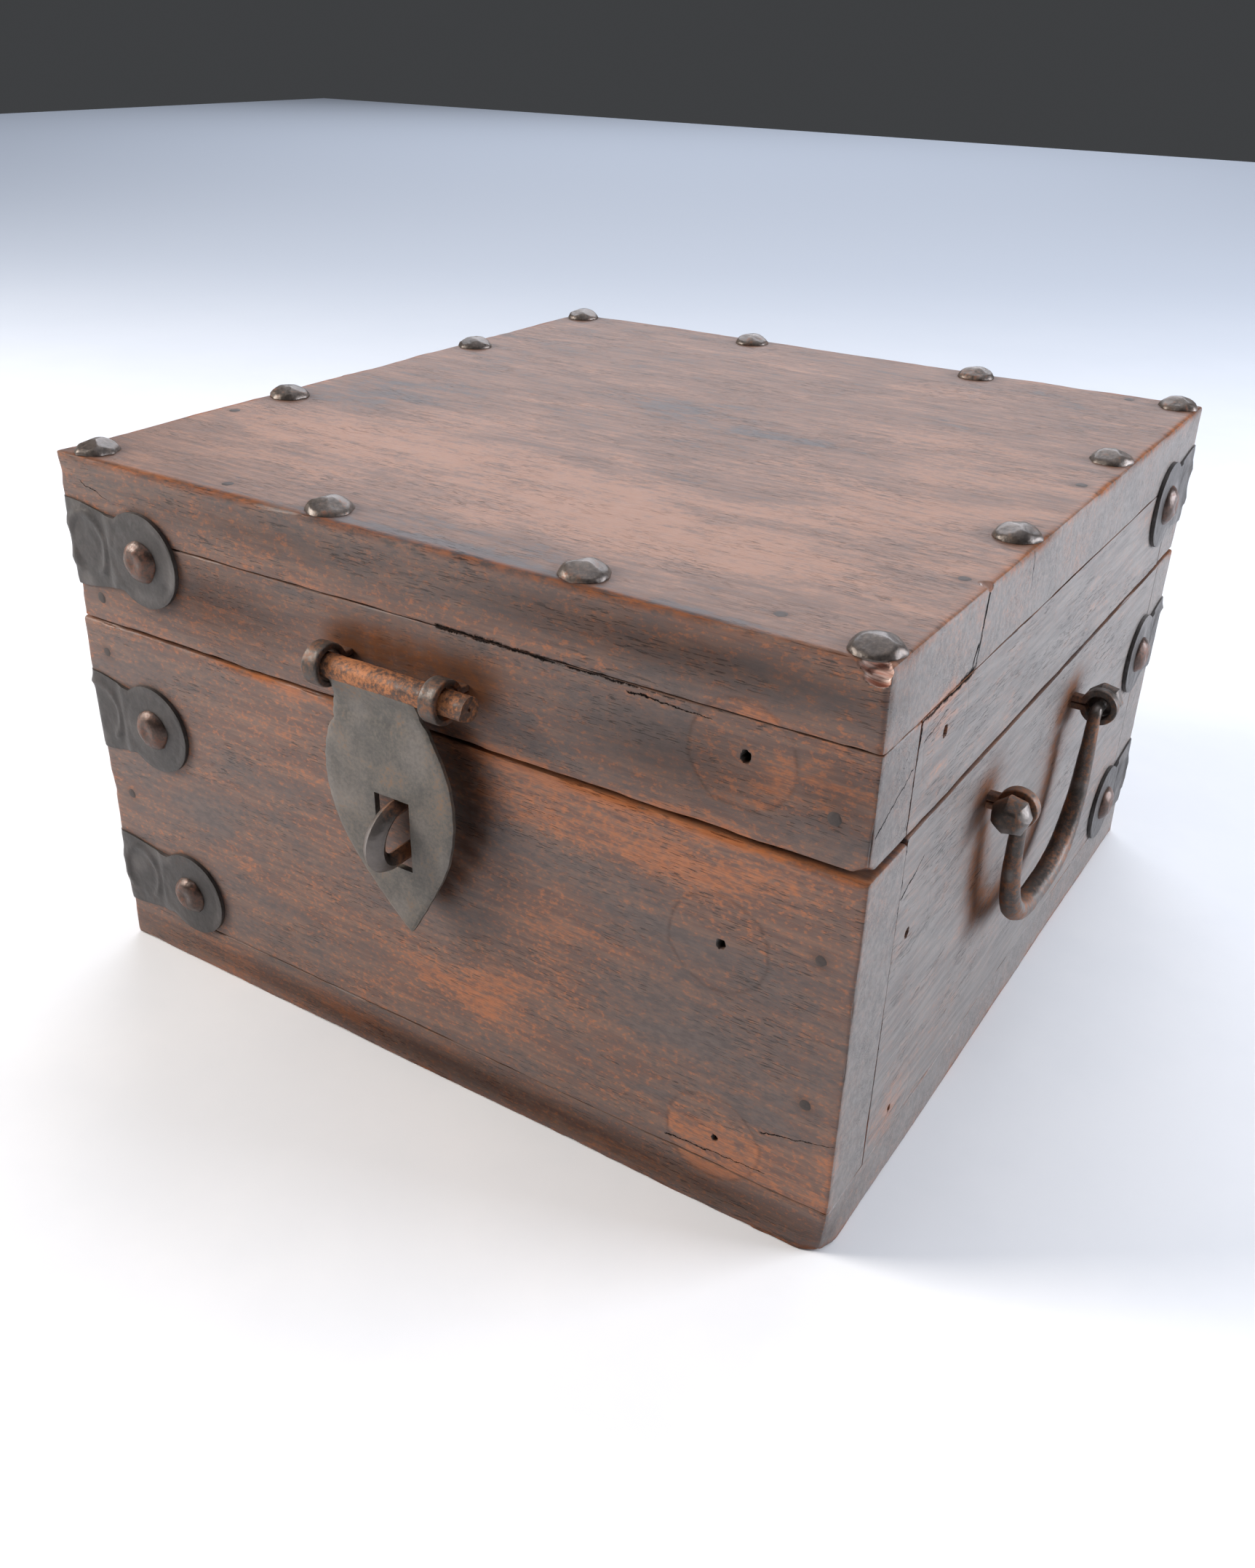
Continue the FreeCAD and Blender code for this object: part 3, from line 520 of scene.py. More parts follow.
def iron_material(name, dark, light, rust, rust_share, shine, roughness):
    """Wrought iron, forged and left dark: hammer marks catch the light, rust sits in the hollows
    and the crowns are rubbed bright. It gives the eye weight and handwork."""
    s = Shader(name)
    place = s.place_mm()
    dents = s.noise(place, (5.0, 5.0, 5.0), 2.0, 0.5)
    scale = s.noise(place, (1.3, 1.3, 1.3), 5.0, 0.7)
    cloud = s.noise(place, (13, 13, 13), 6.0, 0.7, 0.5)
    worn = s.value("worn")
    tint = s.weighted(s.product(cloud, 0.5), (scale, 0.5))
    rusty = s.weighted(s.product(cloud, 0.6), (scale, 0.55), (worn, -0.3), (s.value("rusted"), 0.5))
    rusty = s.step(rusty, 0.76 - rust_share * 0.42, 0.94 - rust_share * 0.42)
    base = s.mix(s.step(tint, 0.36, 0.66), dark, light)
    base = s.mix(rusty, base, s.mix(s.step(tint, 0.42, 0.6), "442e24", rust))
    base = s.mix(s.product(worn, 0.55), base, "8b8480")
    rough = s.weighted(roughness - 0.12, (scale, 0.25), (rusty, 0.2), (worn, -0.14))
    return s.finished({"Base Color": base, "Metallic": s.step(rusty, 0.0, 1.0, shine, 0.15),
                       "Roughness": rough}, s.weighted(dents, (scale, 0.22)), 0.4)


wood = wood_material()
# Name, dark, light and rusty colour, share of rust, shine and roughness
strap_iron, nail_iron, strap_nail_iron, flush_iron, leaf_iron, rusty_iron, handle_iron, hinge_iron = (
    iron_material(*row) for row in (
        ("wrought iron sheet, dark and smooth", "353231", "474240", "4f3a30", 0.28, 0.35, 0.44),
        ("wrought iron nail heads, hammered", "463f3b", "6d625a", "7a4e38", 0.42, 0.45, 0.36),
        ("wrought iron nail heads, red brown", "40322c", "625148", "6a4230", 0.6, 0.45, 0.33),
        ("old iron nail heads, black and rough", "3a3230", "4a403c", "4c3528", 0.3, 0.1, 0.6),
        ("wrought iron leaf, brown and satin", "53504c", "776f66", "806046", 0.42, 0.3, 0.46),
        ("wrought iron with red brown rust", "4a3c35", "745f52", "b27347", 0.8, 0.35, 0.44),
        ("forged iron bar, dark brown", "3c3632", "5e544d", "7a4e31", 0.58, 0.45, 0.42),
        ("forged iron hinge sheet, dull", "383532", "4d4945", "5a3a28", 0.45, 0.5, 0.5)))


# Wood boards

FINE_LINES = np.array((0.0, 0.25, 0.6, 1.0, 1.5, 2.1, 3.0, 4.4))
LINE_SPACING = 2.6
INNER_MIDDLE = (0.0, 0.0, 96.0)
INNER_HALF = (130.8, 129.8, 77.1)
HOLE_RADII = (1.25, 1.1, 0.75)
HOLE_DEPTH = 7.0
EMPTY_HOLES = [(np.array(centre), axis, radius)
               for (height, on_front, on_side), radius in zip(LOST_STRAPS, HOLE_RADII)
               for centre, axis in (((WOOD_RIGHT - on_front, WOOD_FRONT, height), 1),
                                    ((WOOD_RIGHT, WOOD_FRONT + on_side, height), 0))]
# Broken and worn places on the lid and the base board: centre and size
CHIP = ((147.4, -155.5, 195.4), (5.4, 5.0, 6.2))
NOTCH = ((151.5, -88.6, 197.5), (4.0, 2.6, 2.8))
LID_CORNER = ((152.5, -155.0, 137.0), (6.0, 5.0, 4.5))
FOOT_CORNER = ((152.5, -154.5, 0.0), (9.0, 9.0, 16.0))

# Places rubbed through to orange and places left dark, with their strength. On the front: x, z,
# half width, half height
RUBS = [((x, WOOD_FRONT, z), (wide, 30, tall), strength) for x, z, wide, tall, strength in (
    (-65, 154, 34, 9, 0.16), (52, 126, 48, 8, 0.2), (105, 128, 32, 8, 0.16), (140, 158, 16, 14, 0.12),
    (18, 42, 34, 14, 0.2), (48, 62, 30, 14, 0.1), (-60, 62, 36, 16, 0.07), (-35, 110, 40, 20, 0.05),
    (104, 64, 38, 20, -0.14), (78, 158, 26, 14, -0.14), (90, 100, 30, 10, -0.1), (-100, 70, 26, 12, -0.1),
    (45, 187, 60, 12, -0.06), (120, 186, 30, 9, -0.12), (-128, 120, 22, 14, -0.1), (-10, 86, 24, 30, -0.05),
    (60, 8, 90, 8, 0.1), (-70, 8, 60, 8, 0.14), (140, 150, 16, 20, -0.12), (60, 118, 44, 4, 0.12))]
# On the top: x, y, half width, half depth
RUBS += [((x, y, LID_TOP), (wide, deep, 20), strength) for x, y, wide, deep, strength in (
    (-60, -80, 90, 46, 0.16), (60, -100, 90, 40, 0.18), (110, 0, 50, 60, 0.14), (-120, -29, 34, 28, -0.18),
    (-10, 25, 26, 12, -0.2), (42, 9, 34, 7, -0.22), (16, -58, 44, 9, -0.16), (25, -140, 60, 9, -0.16))]
# On edges and on the right: centre and size
RUBS += [((5, -151.5, 197.5), (52, 3.5, 3.0), -0.45), ((100, -152, 197.5), (22, 2.5, 2.5), -0.3),
         ((70, -155, 136.5), (90, 5, 3.5), 0.3), ((-80, -155, 136.5), (70, 5, 3.0), 0.15),
         ((152.5, -113, 172.6), (30, 18, 1.8), 0.45), ((152.5, -113, 156), (30, 9, 14), 0.14),
         ((152.5, -114, 28), (30, 10, 12), 0.1)]

# Iron that darkens the wood round it, and painted shade beside and under the irons: centre, reach, and the
# strengths of grime (with painted shade) and of rust
STAINS = [(middle, *stain) for nodes, stain in (
    (("lid_dome_nails", "lid_strap_nails", "case_strap_nails"), (10.5, 0.75, 0.12)),
    (("lid_flush_nails", "lid_joint_nails", "case_joint_nails", "base_nails"), (3.4, 0.5, 0.2)))
    for node in nodes for middle, outward in heads[node]]
STAINS += [((x, WOOD_FRONT, 157.0), 11.0, 0.75, 0.9) for x in (-24.4, 20.6, 24.0)]
STAINS += [((x, WOOD_FRONT, 160.0), 9.0, 0.3, 0.85) for x in (-20.0, -10.0, 0.0, 10.0)]
# Painted shade, with a little rust, on the wood seen through the leaf's slot round the staple's roots
STAINS += [((0.5, WOOD_FRONT, 105.0), (7.0, 8.0, 13.0), 0.85, 0.2)]
# The dark place beside the hasp's leaf, partly stain and partly the leaf's painted shadow: height and x
STAINS += [((x, WOOD_FRONT, z), 8.5, 0.95, 0.1) for z, x in (
    (139, 18), (132, 21), (124, 23), (116, 24), (108, 23), (100, 20), (92, 15), (84, 9))]
# Wide dark places on the front, partly painted shade: x, z, half width, half height and strength of grime
# and shade
STAINS += [((x, WOOD_FRONT, z), (wide, 20.0, tall), dark, 0.0) for x, z, wide, tall, dark in (
    (-90, 158, 60, 17, 0.62), (95, 155, 50, 16, 0.5), (90, 186, 80, 9, 0.62), (-60, 186, 80, 9, 0.42),
    (20, 8, 190, 9.5, 0.78), (110, 90, 60, 34, 0.12), (142, 158, 24, 16, 0.42))]
# Rust stains and painted shade behind the handles: at both eyes, along the bail as a superellipse, and at
# its front end
for beside in (-WOOD_RIGHT, WOOD_RIGHT):
    STAINS += [((beside, HANDLE_AXIS[1] - 4.0 + spacing, z), (8.0, 13.0, 9.0), 0.8, 0.9)
               for spacing in (-EYE_HALF_SPACING, EYE_HALF_SPACING) for z in (115.0, 121.0)]
    STAINS += [((beside, HANDLE_AXIS[1] - 7 + math.copysign(abs(c) ** 0.667, c) * 38, 116 - 51 * s ** 0.667),
                (7.0, 10.0, 8.0), 0.9, 0.85) for c, s in unit(np.linspace(0.0, math.pi, 34))]
    # The bail's painted shadow beside its lower front end
    STAINS += [((beside, -52.0, 73.0), (8.0, 12.0, 12.0), 0.95, 0.5)]


def ellipsoid_share(points, centre, size):
    """1 at the centre of an ellipsoid, 0 at its surface and outside it."""
    distance = np.linalg.norm((points - np.array(centre)) / size, axis=-1)
    return np.clip(1 - distance, 0, 1)


def bell(points, centre, size):
    """1 at a centre, falling as exp of minus the squared distance in sizes."""
    return np.exp(-np.sum(((points - centre) / size) ** 2, axis=1))


def board_lines(low, high, extra):
    """Grid lines of one axis: close together near both ends and at the extra places."""
    inner = np.linspace(low, high, max(int((high - low) / LINE_SPACING), 2) + 1)
    lines = np.concatenate([low + FINE_LINES, high - FINE_LINES, inner] + extra)
    lines = np.unique(np.round(lines[(lines >= low) & (lines <= high)], 3))
    keep = np.concatenate(((True,), np.diff(lines) > 0.14))
    keep[-1] = True
    lines = lines[keep]
    lines[-1] = high
    return lines


def worn_board(node, grain_axis, round_low, round_high, seed):
    """A board from its CAD box: its surface grid is pulled in to an ellipse along every edge, with
    a radius for each side that wanders with noise. Its faces swell a little, its empty nail holes
    are pits, and splinters are pressed in where the real wood is broken."""
    low, high = box_mm(node)
    extras = [[], [], []]
    holes = [hole for hole in EMPTY_HOLES if np.all(hole[0] > low - 1) and np.all(hole[0] < high + 1)]
    for centre, hole_axis, hole_radius in holes:
        for axis in range(3):
            if axis != hole_axis:
                extras[axis].append(centre[axis] + np.linspace(-2.4, 2.4, 13))
    if node == "lid_plank":
        extras[0].append(np.linspace(126, 151, 42))
        extras[1].append(np.linspace(-154.5, -144, 22))
        extras[1].append(np.linspace(-92, -85, 16))
        extras[2].append(np.linspace(185, 197, 22))
    flat, quads = box_surface([board_lines(low[axis], high[axis], extras[axis]) for axis in range(3)])

    wander = 1 + 0.55 * noise(flat, 17.0, seed) + 0.35 * noise(flat, 5.0, seed + 1)
    wander = np.clip(wander, 0.25, 2.2)[:, None]
    at_low = np.array(round_low) * wander
    at_high = np.array(round_high) * wander
    core = np.clip(flat, low + at_low, high - at_high)
    radius = np.where(flat < core, at_low, at_high)
    offset = (flat - core) / radius
    length = np.maximum(np.linalg.norm(offset, axis=1, keepdims=True), 1e-6)
    points = np.where(length > 1, core + radius * offset / np.maximum(length, 1), flat)
    corner = np.clip((length[:, 0] - 1) / 0.41, 0, 1)
    normal = offset * (np.abs(offset) > 0.999)
    normal /= np.maximum(np.linalg.norm(normal, axis=1, keepdims=True), 1)

    # Small chips along the edges, and a slow swell of the faces
    chips = smooth(0.35, 0.8, noise(flat, 6.0, seed + 2)) * corner
    swell = 0.16 * (noise(flat, 46.0, seed + 3) - 1) * (1 - corner)
    points += normal * swell[:, None]
    chipped = (chips * 0.55)[:, None] * (corner > 0)[:, None]
    points -= np.sign(flat - (low + high) / 2) * np.abs(offset) * chipped

    hole, raw, grime_and_shade, rust = np.zeros((4, len(flat)))
    for centre, hole_axis, hole_radius in holes:
        across = np.delete(flat - centre, hole_axis, axis=1)
        face_at = low[hole_axis] if centre[hole_axis] < 0 else high[hole_axis]
        on_face = np.abs(flat[:, hole_axis] - face_at) < 0.01
        out = np.linalg.norm(across * (1, 0.85), axis=1) + 0.25 * noise(flat * 3, 2.0, seed)
        sunk = smooth(hole_radius + 0.35, hole_radius - 0.35, out) * on_face
        points[:, hole_axis] -= sunk * HOLE_DEPTH * np.sign(centre[hole_axis])
        hole = np.maximum(hole, smooth(hole_radius + 0.5, hole_radius - 0.1, out) * on_face)

    if node == "lid_plank":
        jag = 1 + 0.6 * noise(flat, np.array((3.6, 1.7, 1.7)), 7.0)
        torn = smooth(0.12, 0.5, ellipsoid_share(flat, *CHIP) * jag)
        points += torn[:, None] * np.array((0.0, 2.4, -1.9)) * (0.5 + 0.5 * jag)[:, None]
        split = smooth(0.0, 0.7, ellipsoid_share(flat, *NOTCH))
        points += split[:, None] * np.array((-1.0, 0.0, -1.7))
        raw = np.maximum(smooth(0.02, 0.22, torn), 0.8 * split)
    if node == "case_front_board":
        near_top = smooth(high[2] - 7.0, high[2], flat[:, 2])
        points[:, 2] -= 1.35 * smooth(-20.0, 150.0, flat[:, 0]) * near_top
    if node == "base_board":
        points += ellipsoid_share(flat, *FOOT_CORNER)[:, None] * np.array((-2.2, 2.2, 0.7))
    if node == "lid_front_board":
        worn_corner = smooth(0.0, 0.7, ellipsoid_share(flat, *LID_CORNER))
        points += worn_corner[:, None] * np.array((-1.4, 0.9, 1.2))

    # Only edges with a wide rounding are rubbed, and those that stand upright less
    rubbed = np.concatenate((round_low, round_high)) > 0.75
    from_faces = np.concatenate((flat - low, high - flat), axis=1)
    from_faces = np.sort(np.where(rubbed, from_faces, BOARD * 4), axis=1)
    uneven = 0.35 + 0.65 * smooth(-0.4, 0.5, noise(flat, 23.0, seed + 4))
    edge = np.exp(-(from_faces[:, 1] / 2.6) ** 2) * uneven
    from_top = np.minimum(flat[:, 2] - low[2], high[2] - flat[:, 2])
    edge *= np.where(from_top > from_faces[:, 1] + 0.01, 0.3, 1.0)
    rub = np.full(len(flat), 0.02 if node == "lid_plank" else 0.0)
    for centre, size, strength in RUBS:
        rub += strength * bell(flat, centre, size)
    for centre, reach, dark, red in STAINS:
        near = bell(flat, centre, reach)
        grime_and_shade = np.maximum(grime_and_shade, near * dark)
        rust = np.maximum(rust, near * red)
    within = np.all(np.abs(flat - INNER_MIDDLE) < INNER_HALF, axis=1)
    order = [grain_axis] + [axis for axis in range(3) if axis != grain_axis]
    body = body_of(node)
    piece(node + "_worn", points, quads.tolist(), body, [node], "wood_" + body, wood,
          {"grain": flat[:, order] + seed * 137.0, "edge": edge, "rub": rub, "grime_and_shade": grime_and_shade, "rust": rust,
           "raw": raw, "inside": within.astype(float), "hole": hole})


# Each board, the axis of its grain, and the rounding of its three low and three high sides
OUTER = 1.7
SEAM = 0.45
BOARDS = (
    ("lid_plank", 0, (OUTER, 2.3, SEAM), (OUTER, OUTER, 1.9)),
    ("lid_front_board", 0, (OUTER, OUTER, 0.7), (OUTER, 0.5, SEAM)),
    ("lid_back_board", 0, (OUTER, 0.5, 0.7), (OUTER, OUTER, SEAM)),
    ("lid_left_board", 1, (0.7, SEAM, 0.7), (0.7, SEAM, SEAM)),
    ("lid_right_board", 1, (0.7, SEAM, 0.7), (0.7, SEAM, SEAM)),
    ("case_front_board", 0, (OUTER, OUTER, SEAM), (OUTER, 0.6, 1.3)),
    ("case_back_board", 0, (OUTER, 0.6, SEAM), (OUTER, OUTER, 1.1)),
    ("case_left_board", 1, (0.7, SEAM, SEAM), (0.7, SEAM, 1.0)),
    ("case_right_board", 1, (0.7, SEAM, SEAM), (0.7, SEAM, 1.0)),
    ("base_board", 0, (OUTER, OUTER, 0.8), (OUTER, OUTER, SEAM)),
)
for number, board in enumerate(BOARDS):
    worn_board(*board, seed=number + 1.0)


# Corner straps

def strap_solid(node):
    """A strap from one round end round the corner to the other: rows run along it on a path of
    flat, quarter circle, flat, and columns across it between its edges. Its face is hammered, and
    a crescent ridge with a dimple marks each arm beside the disc."""
    low, high = box_mm(node)
    side = np.sign(low + high)
    face = np.where(side > 0, high, low)
    height = (low[2] + high[2]) / 2
    strap_reach = high[0] - low[0] - STRAP_THICKNESS - STRAP_DISC * math.cos(math.pi / 16)
    bend = CORNER_ROUND * math.pi / 4
    last = strap_reach - CORNER_ROUND + bend + STRAP_DISC
    run = np.concatenate((np.linspace(0, bend, 5)[:-1], np.linspace(bend, last - 3, 50)[:-1],
                          last - 3 * np.linspace(1, 0, 12) ** 2))
    run = np.concatenate((-run[:0:-1], run))
    beyond = np.maximum(np.abs(run) - bend, 0)
    reach = beyond + CORNER_ROUND
    narrower = smooth(CORNER_ROUND, strap_reach - 9, reach)
    arm = STRAP_CORNER_HALF + (STRAP_NECK_HALF - STRAP_CORNER_HALF) * narrower
    disc = np.sqrt(np.maximum(STRAP_DISC ** 2 - (reach - strap_reach) ** 2, 0.01))
    half = np.where(reach > strap_reach - 11, np.maximum(disc, np.where(reach > strap_reach, 0, arm)), arm)
    across = np.sin(np.linspace(-1, 1, 25) * math.pi / 2)

    normal = -unit(np.clip(run / bend, -1, 1) * math.pi / 4 + math.pi / 4)
    wood_line = CORNER_ROUND + CORNER_ROUND * normal
    wood_line[:, 1] += np.where(run < 0, beyond, 0)
    wood_line[:, 0] += np.where(run > 0, beyond, 0)

    up = across[None] * half[:, None]
    out = reach[:, None] - strap_reach
    flat_place = stacked(run[:, None], up, height)
    crescent_distance = np.abs(np.hypot(out + 27.0, up * 0.8) - 9.0)
    crescent = np.exp(-(crescent_distance / 1.1) ** 2) * (up > -9.0)
    dimple = np.exp(-(((out + 19.0) / 2.6) ** 2 + ((up - 3.0) / 3.0) ** 2))
    sunk = 0.75 * smooth(14.0, 18.0, -out) * (1 - crescent) + 0.3 * dimple
    rim_drop = 0.16 * smooth(0.86, 1.0, np.abs(up) / half[:, None])
    disc_ring = 0.18 * np.exp(-((np.hypot(out, up) - 13.6) / 0.9) ** 2)
    marks = hammer_marks(flat_place, (0.12, 7.0, 3.0), (0.05, 2.4, 4.0))
    thick = STRAP_THICKNESS - np.clip(marks + sunk + rim_drop + disc_ring, 0, 0.95)

    def surface(lift):
        return stacked(*(face[axis] - side[axis] * (STRAP_THICKNESS + wood_line[:, axis, None]
                                                    + normal[:, axis, None] * lift)
                         for axis in (0, 1)), height + up)

    front, back = surface(thick), surface(0.0)
    if side[0] * side[1] > 0:
        front, back = back, front
    points, faces = plate(front, back, np.ones((len(run) - 1, len(across) - 1), bool))
    return points, [face_corners[::-1] for face_corners in faces]


for node in [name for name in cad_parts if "_strap_" in name and "nails" not in name]:
    points, faces = strap_solid(node)
    piece(node + "_hammered", points, faces, body_of(node), [node], "iron_straps", strap_iron,
          {"worn": 0.35 * smooth(0.1, 0.8, noise(points, 9.0, 11.0))})


# Nail heads: how wide each ring of a head is, and how high it stands on the rim

HEAD_WIDTHS = np.array((0.97, 1.0, 0.985, 0.94, 0.87, 0.78, 0.68, 0.57, 0.46, 0.35, 0.24, 0.13, 0.04))
HEAD_HEIGHTS = (0.0, 0.12, 0.28, 0.45, 0.62, 0.76, 0.87, 0.94, 0.975, 0.99, 1.0, 1.0)


def nail_head(middle, axis, radius, height, corners, dents, seed, sink, facets, dimple):
    """A hammered head: circles that shrink along an outward axis as a low dome does, with a thin
    rim, pressed out of round by noise. Sloping planes cut flat facets round the crown, and a dimple
    sinks its middle."""
    side = np.roll(axis, 1)
    other = np.cross(axis, side)
    lift = np.array((-sink / height, *HEAD_HEIGHTS))
    path = middle - axis * height + np.outer(lift * height, axis)
    rim = path[1]
    points, faces = swept(path, side, other, circle(corners)[None] * (HEAD_WIDTHS * radius)[:, None, None],
                          (dents, radius * 0.7, seed), (dents * 0.4, radius * 0.25, seed + 2))
    dip = hammer_marks(points, (dents * height * 0.5, radius * 0.55, seed + 4))
    points = points - np.outer(dip * ((points - rim) @ axis > 0.3), axis)
    risen = (points - rim) @ axis
    for number in range(facets):
        turn = number * 2 * math.pi / facets + 0.5 * math.sin(seed * 3.1 + number * 2.3) + seed
        away = (points - rim) @ (side * math.cos(turn) + other * math.sin(turn)) / radius
        plane = height * (1.0 - 0.85 * (away - 0.16 - 0.1 * math.sin(seed + number)))
        risen = np.where(risen > 0.3, np.minimum(risen, np.maximum(plane, 0.3)), risen)
    out = np.linalg.norm(np.cross(points - rim, axis), axis=1)
    risen -= dimple * height * np.exp(-(out / (radius * 0.3)) ** 2) * (risen > 0.3)
    return points + np.outer(risen - (points - rim) @ axis, axis), faces


def nail_piece(node, radius, height, corners, dents, lift, sink, material, facets, dimple):
    """All heads of one CAD node as one object; heads of the hammered nail iron have their crowns rubbed
    bright.
    """
    parts, worn = [], []
    for number, (middle, outward) in enumerate(heads[node]):
        points, faces = nail_head(middle + outward * lift, outward, radius, height, corners, dents,
                                  20.0 + number, sink, facets, dimple)
        parts.append((points, faces))
        risen = (points - middle) @ outward + height
        worn.append(smooth(0.45, 1.0, risen / height) * (0.6 + 0.5 * noise(points, radius * 0.6, 9.0)))
    crown = np.concatenate(worn) * (1.0 if material is nail_iron else 0.0)
    piece(node + "_heads", *joined(parts), body_of(node), [node], "iron_nails", material, {"worn": crown})


# Radius, height, corners, dents, lift, sink, material, facets and dimple of the heads of each node
STRAP_HEAD = (7.7, 3.3, 44, 0.08, -1.3, 0.5, strap_nail_iron, 0, 0.22)
JOINT_HEAD = (2.4, 0.3, 14, 0.2, 0.04, 0.8, flush_iron, 0, 0.0)
HINGE_HEAD = (3.6, 1.9, 24, 0.12, 0.0, 0.5, nail_iron, 0, 0.0)
for node, head in (("lid_dome_nails", (7.85, 3.9, 44, 0.12, -0.7, 0.5, nail_iron, 5, 0.0)),
                   ("lid_strap_nails", STRAP_HEAD), ("case_strap_nails", STRAP_HEAD),
                   ("lid_flush_nails", (2.5, 0.3, 14, 0.2, 0.04, 0.8, flush_iron, 0, 0.0)),
                   ("lid_joint_nails", JOINT_HEAD), ("case_joint_nails", JOINT_HEAD),
                   ("base_nails", (2.4, 0.3, 14, 0.2, -0.02, 0.8, flush_iron, 0, 0.0)),
                   ("hinge_case_nails", HINGE_HEAD), ("hinge_lid_nails", HINGE_HEAD)):
    nail_piece(node, *head)


# Strip eyes

def strip_eye(node):
    """An eye of bent strip: a rounded rectangle carried from inside the wood out along the top leg,
    round the ring and back along the lower leg, with both ends clenched on the wood's inner face."""
    low, high = box_mm(node)
    middle = (low + high) / 2
    hasp_side = node.startswith("hasp")
    wide_axis, out_axis = (0, 1) if hasp_side else (1, 0)
    ring_outer, strip, axis_place = (7.0, 2.1, HASP_AXIS) if hasp_side else (6.7, 2.5, HANDLE_AXIS)
    wide = np.eye(3)[wide_axis]
    outward = np.eye(3)[out_axis] * np.sign(middle[out_axis])
    width = high[wide_axis] - low[wide_axis]
    inner = min(abs(low[out_axis]), abs(high[out_axis]))
    axis_at, axis_height = abs(axis_place[out_axis]), axis_place[2]
    radius = ring_outer - strip / 2
    leg = strip / 2 + 0.1
    start = math.acos(-math.sqrt(1 - (leg / radius) ** 2))
    ring = unit(np.linspace(start, -start, 44)) * radius + (axis_at, 0)
    legs_out = np.linspace(inner + strip, ring[0, 0] - 0.6, 8)
    clench = ((inner + strip / 2, 10.5), (inner + strip / 2, 3.4), (inner + strip * 0.7, leg + 0.7))
    upper = np.concatenate((clench, stacked(legs_out, leg)))
    track = np.concatenate((upper, ring, upper[::-1] * (1, -1)))
    path = np.outer(track[:, 0], outward) + np.outer(track[:, 1] + axis_height, ALONG_Z)
    path += wide * (middle @ wide)
    bow = unit(np.linspace(0, 2 * math.pi, 28, endpoint=False) + 0.1)
    soft = np.sign(bow) * np.abs(bow) ** 0.32
    points, faces = swept(path, wide, second_side(path, wide), (soft * (width / 2, strip / 2))[None],
                          (0.05, 4.0, middle[0]), (0.02, 1.4, middle[1]))
    from_axis = np.hypot(points @ outward - axis_at, points[:, 2] - axis_height)
    worn = smooth(ring_outer - 1.2, ring_outer, from_axis)
    piece(node + "_forged", points, faces, body_of(node), [node], "iron_fittings", handle_iron,
          {"worn": 0.7 * worn * smooth(0.0, 0.8, noise(points, 2.6, 2.0)),
           "rusted": smooth(axis_at - 3.0, axis_at - 6.5, points @ outward)})


for node in [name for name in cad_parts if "_eye_" in name]:
    strip_eye(node)


# Staple

def staple():
    """A loop of forged bar whose legs go through the front board and are clenched inside. In front
    of the wood the loop droops and leans to the left, as a half turn along a slanted direction."""
    root_x, root_z, half, straight = 1.0, 104.8, 8.7, 11.0
    bend = np.array((-2.6, -6.9, -3.5))
    turn = unit(np.linspace(0, math.pi, 34))
    loop = np.outer(turn[:, 0], ALONG_Z * half) + np.outer(turn[:, 1], bend)
    loop += (root_x, WOOD_FRONT - straight, root_z)
    leg_y = np.linspace(WOOD_FRONT + BOARD + 1.0, WOOD_FRONT - straight + 0.7, 16)
    clench = np.array(((22.0, 2.2), (14.0, 2.2), (10.2, 2.0)))
    leg_y = np.concatenate((WOOD_FRONT + BOARD + clench[:, 1], leg_y))
    from_root = np.concatenate((clench[:, 0], np.full(16, half)))
    upper, lower = (stacked(root_x, leg_y, root_z + sign * from_root) for sign in (1, -1))
    path = np.concatenate((upper, loop, lower[::-1]))
    forward = np.clip((WOOD_FRONT - straight - path[:, 1]) / -bend[1], 0, 1)
    radii = np.where(path[:, 1] > WOOD_FRONT + 2, 2.1, 2.95) + 1.0 * forward
    points, faces = forged_bar(path, radii, 28, 5.0, 0.05, 31.0, 4, 0.45)
    piece("staple_forged", points, faces, "case", ["staple"], "iron_fittings", handle_iron,
          {"worn": 0.8 * smooth(WOOD_FRONT - 13.0, WOOD_FRONT - 21.0, points[:, 1]),
           "rusted": smooth(WOOD_FRONT - 14.0, WOOD_FRONT - 9.0, points[:, 1])})


staple()


# Hasp

LEAF_TOP = 147.0
LEAF_TIP = 68.7
LEAF_SHARES = np.array((0.0, 0.08, 0.15, 0.23, 0.335, 0.434, 0.53, 0.62, 0.736, 0.86, 0.94, 1.0))
LEAF_WIDTHS = np.array((16.8, 19.6, 21.9, 24.1, 25.3, 25.1, 23.6, 21.2, 16.1, 9.3, 4.4, 0.5))
LEAF_LEAN = 6.4
NECK_SHIFT = -2.1
SLOT = (-6.9, 6.9, 92.2, 116.9)
LEAF_HALF_THICK = 1.1
BARREL_RADIUS = 4.1
BARREL_ENDS = (-29.3, 31.4)


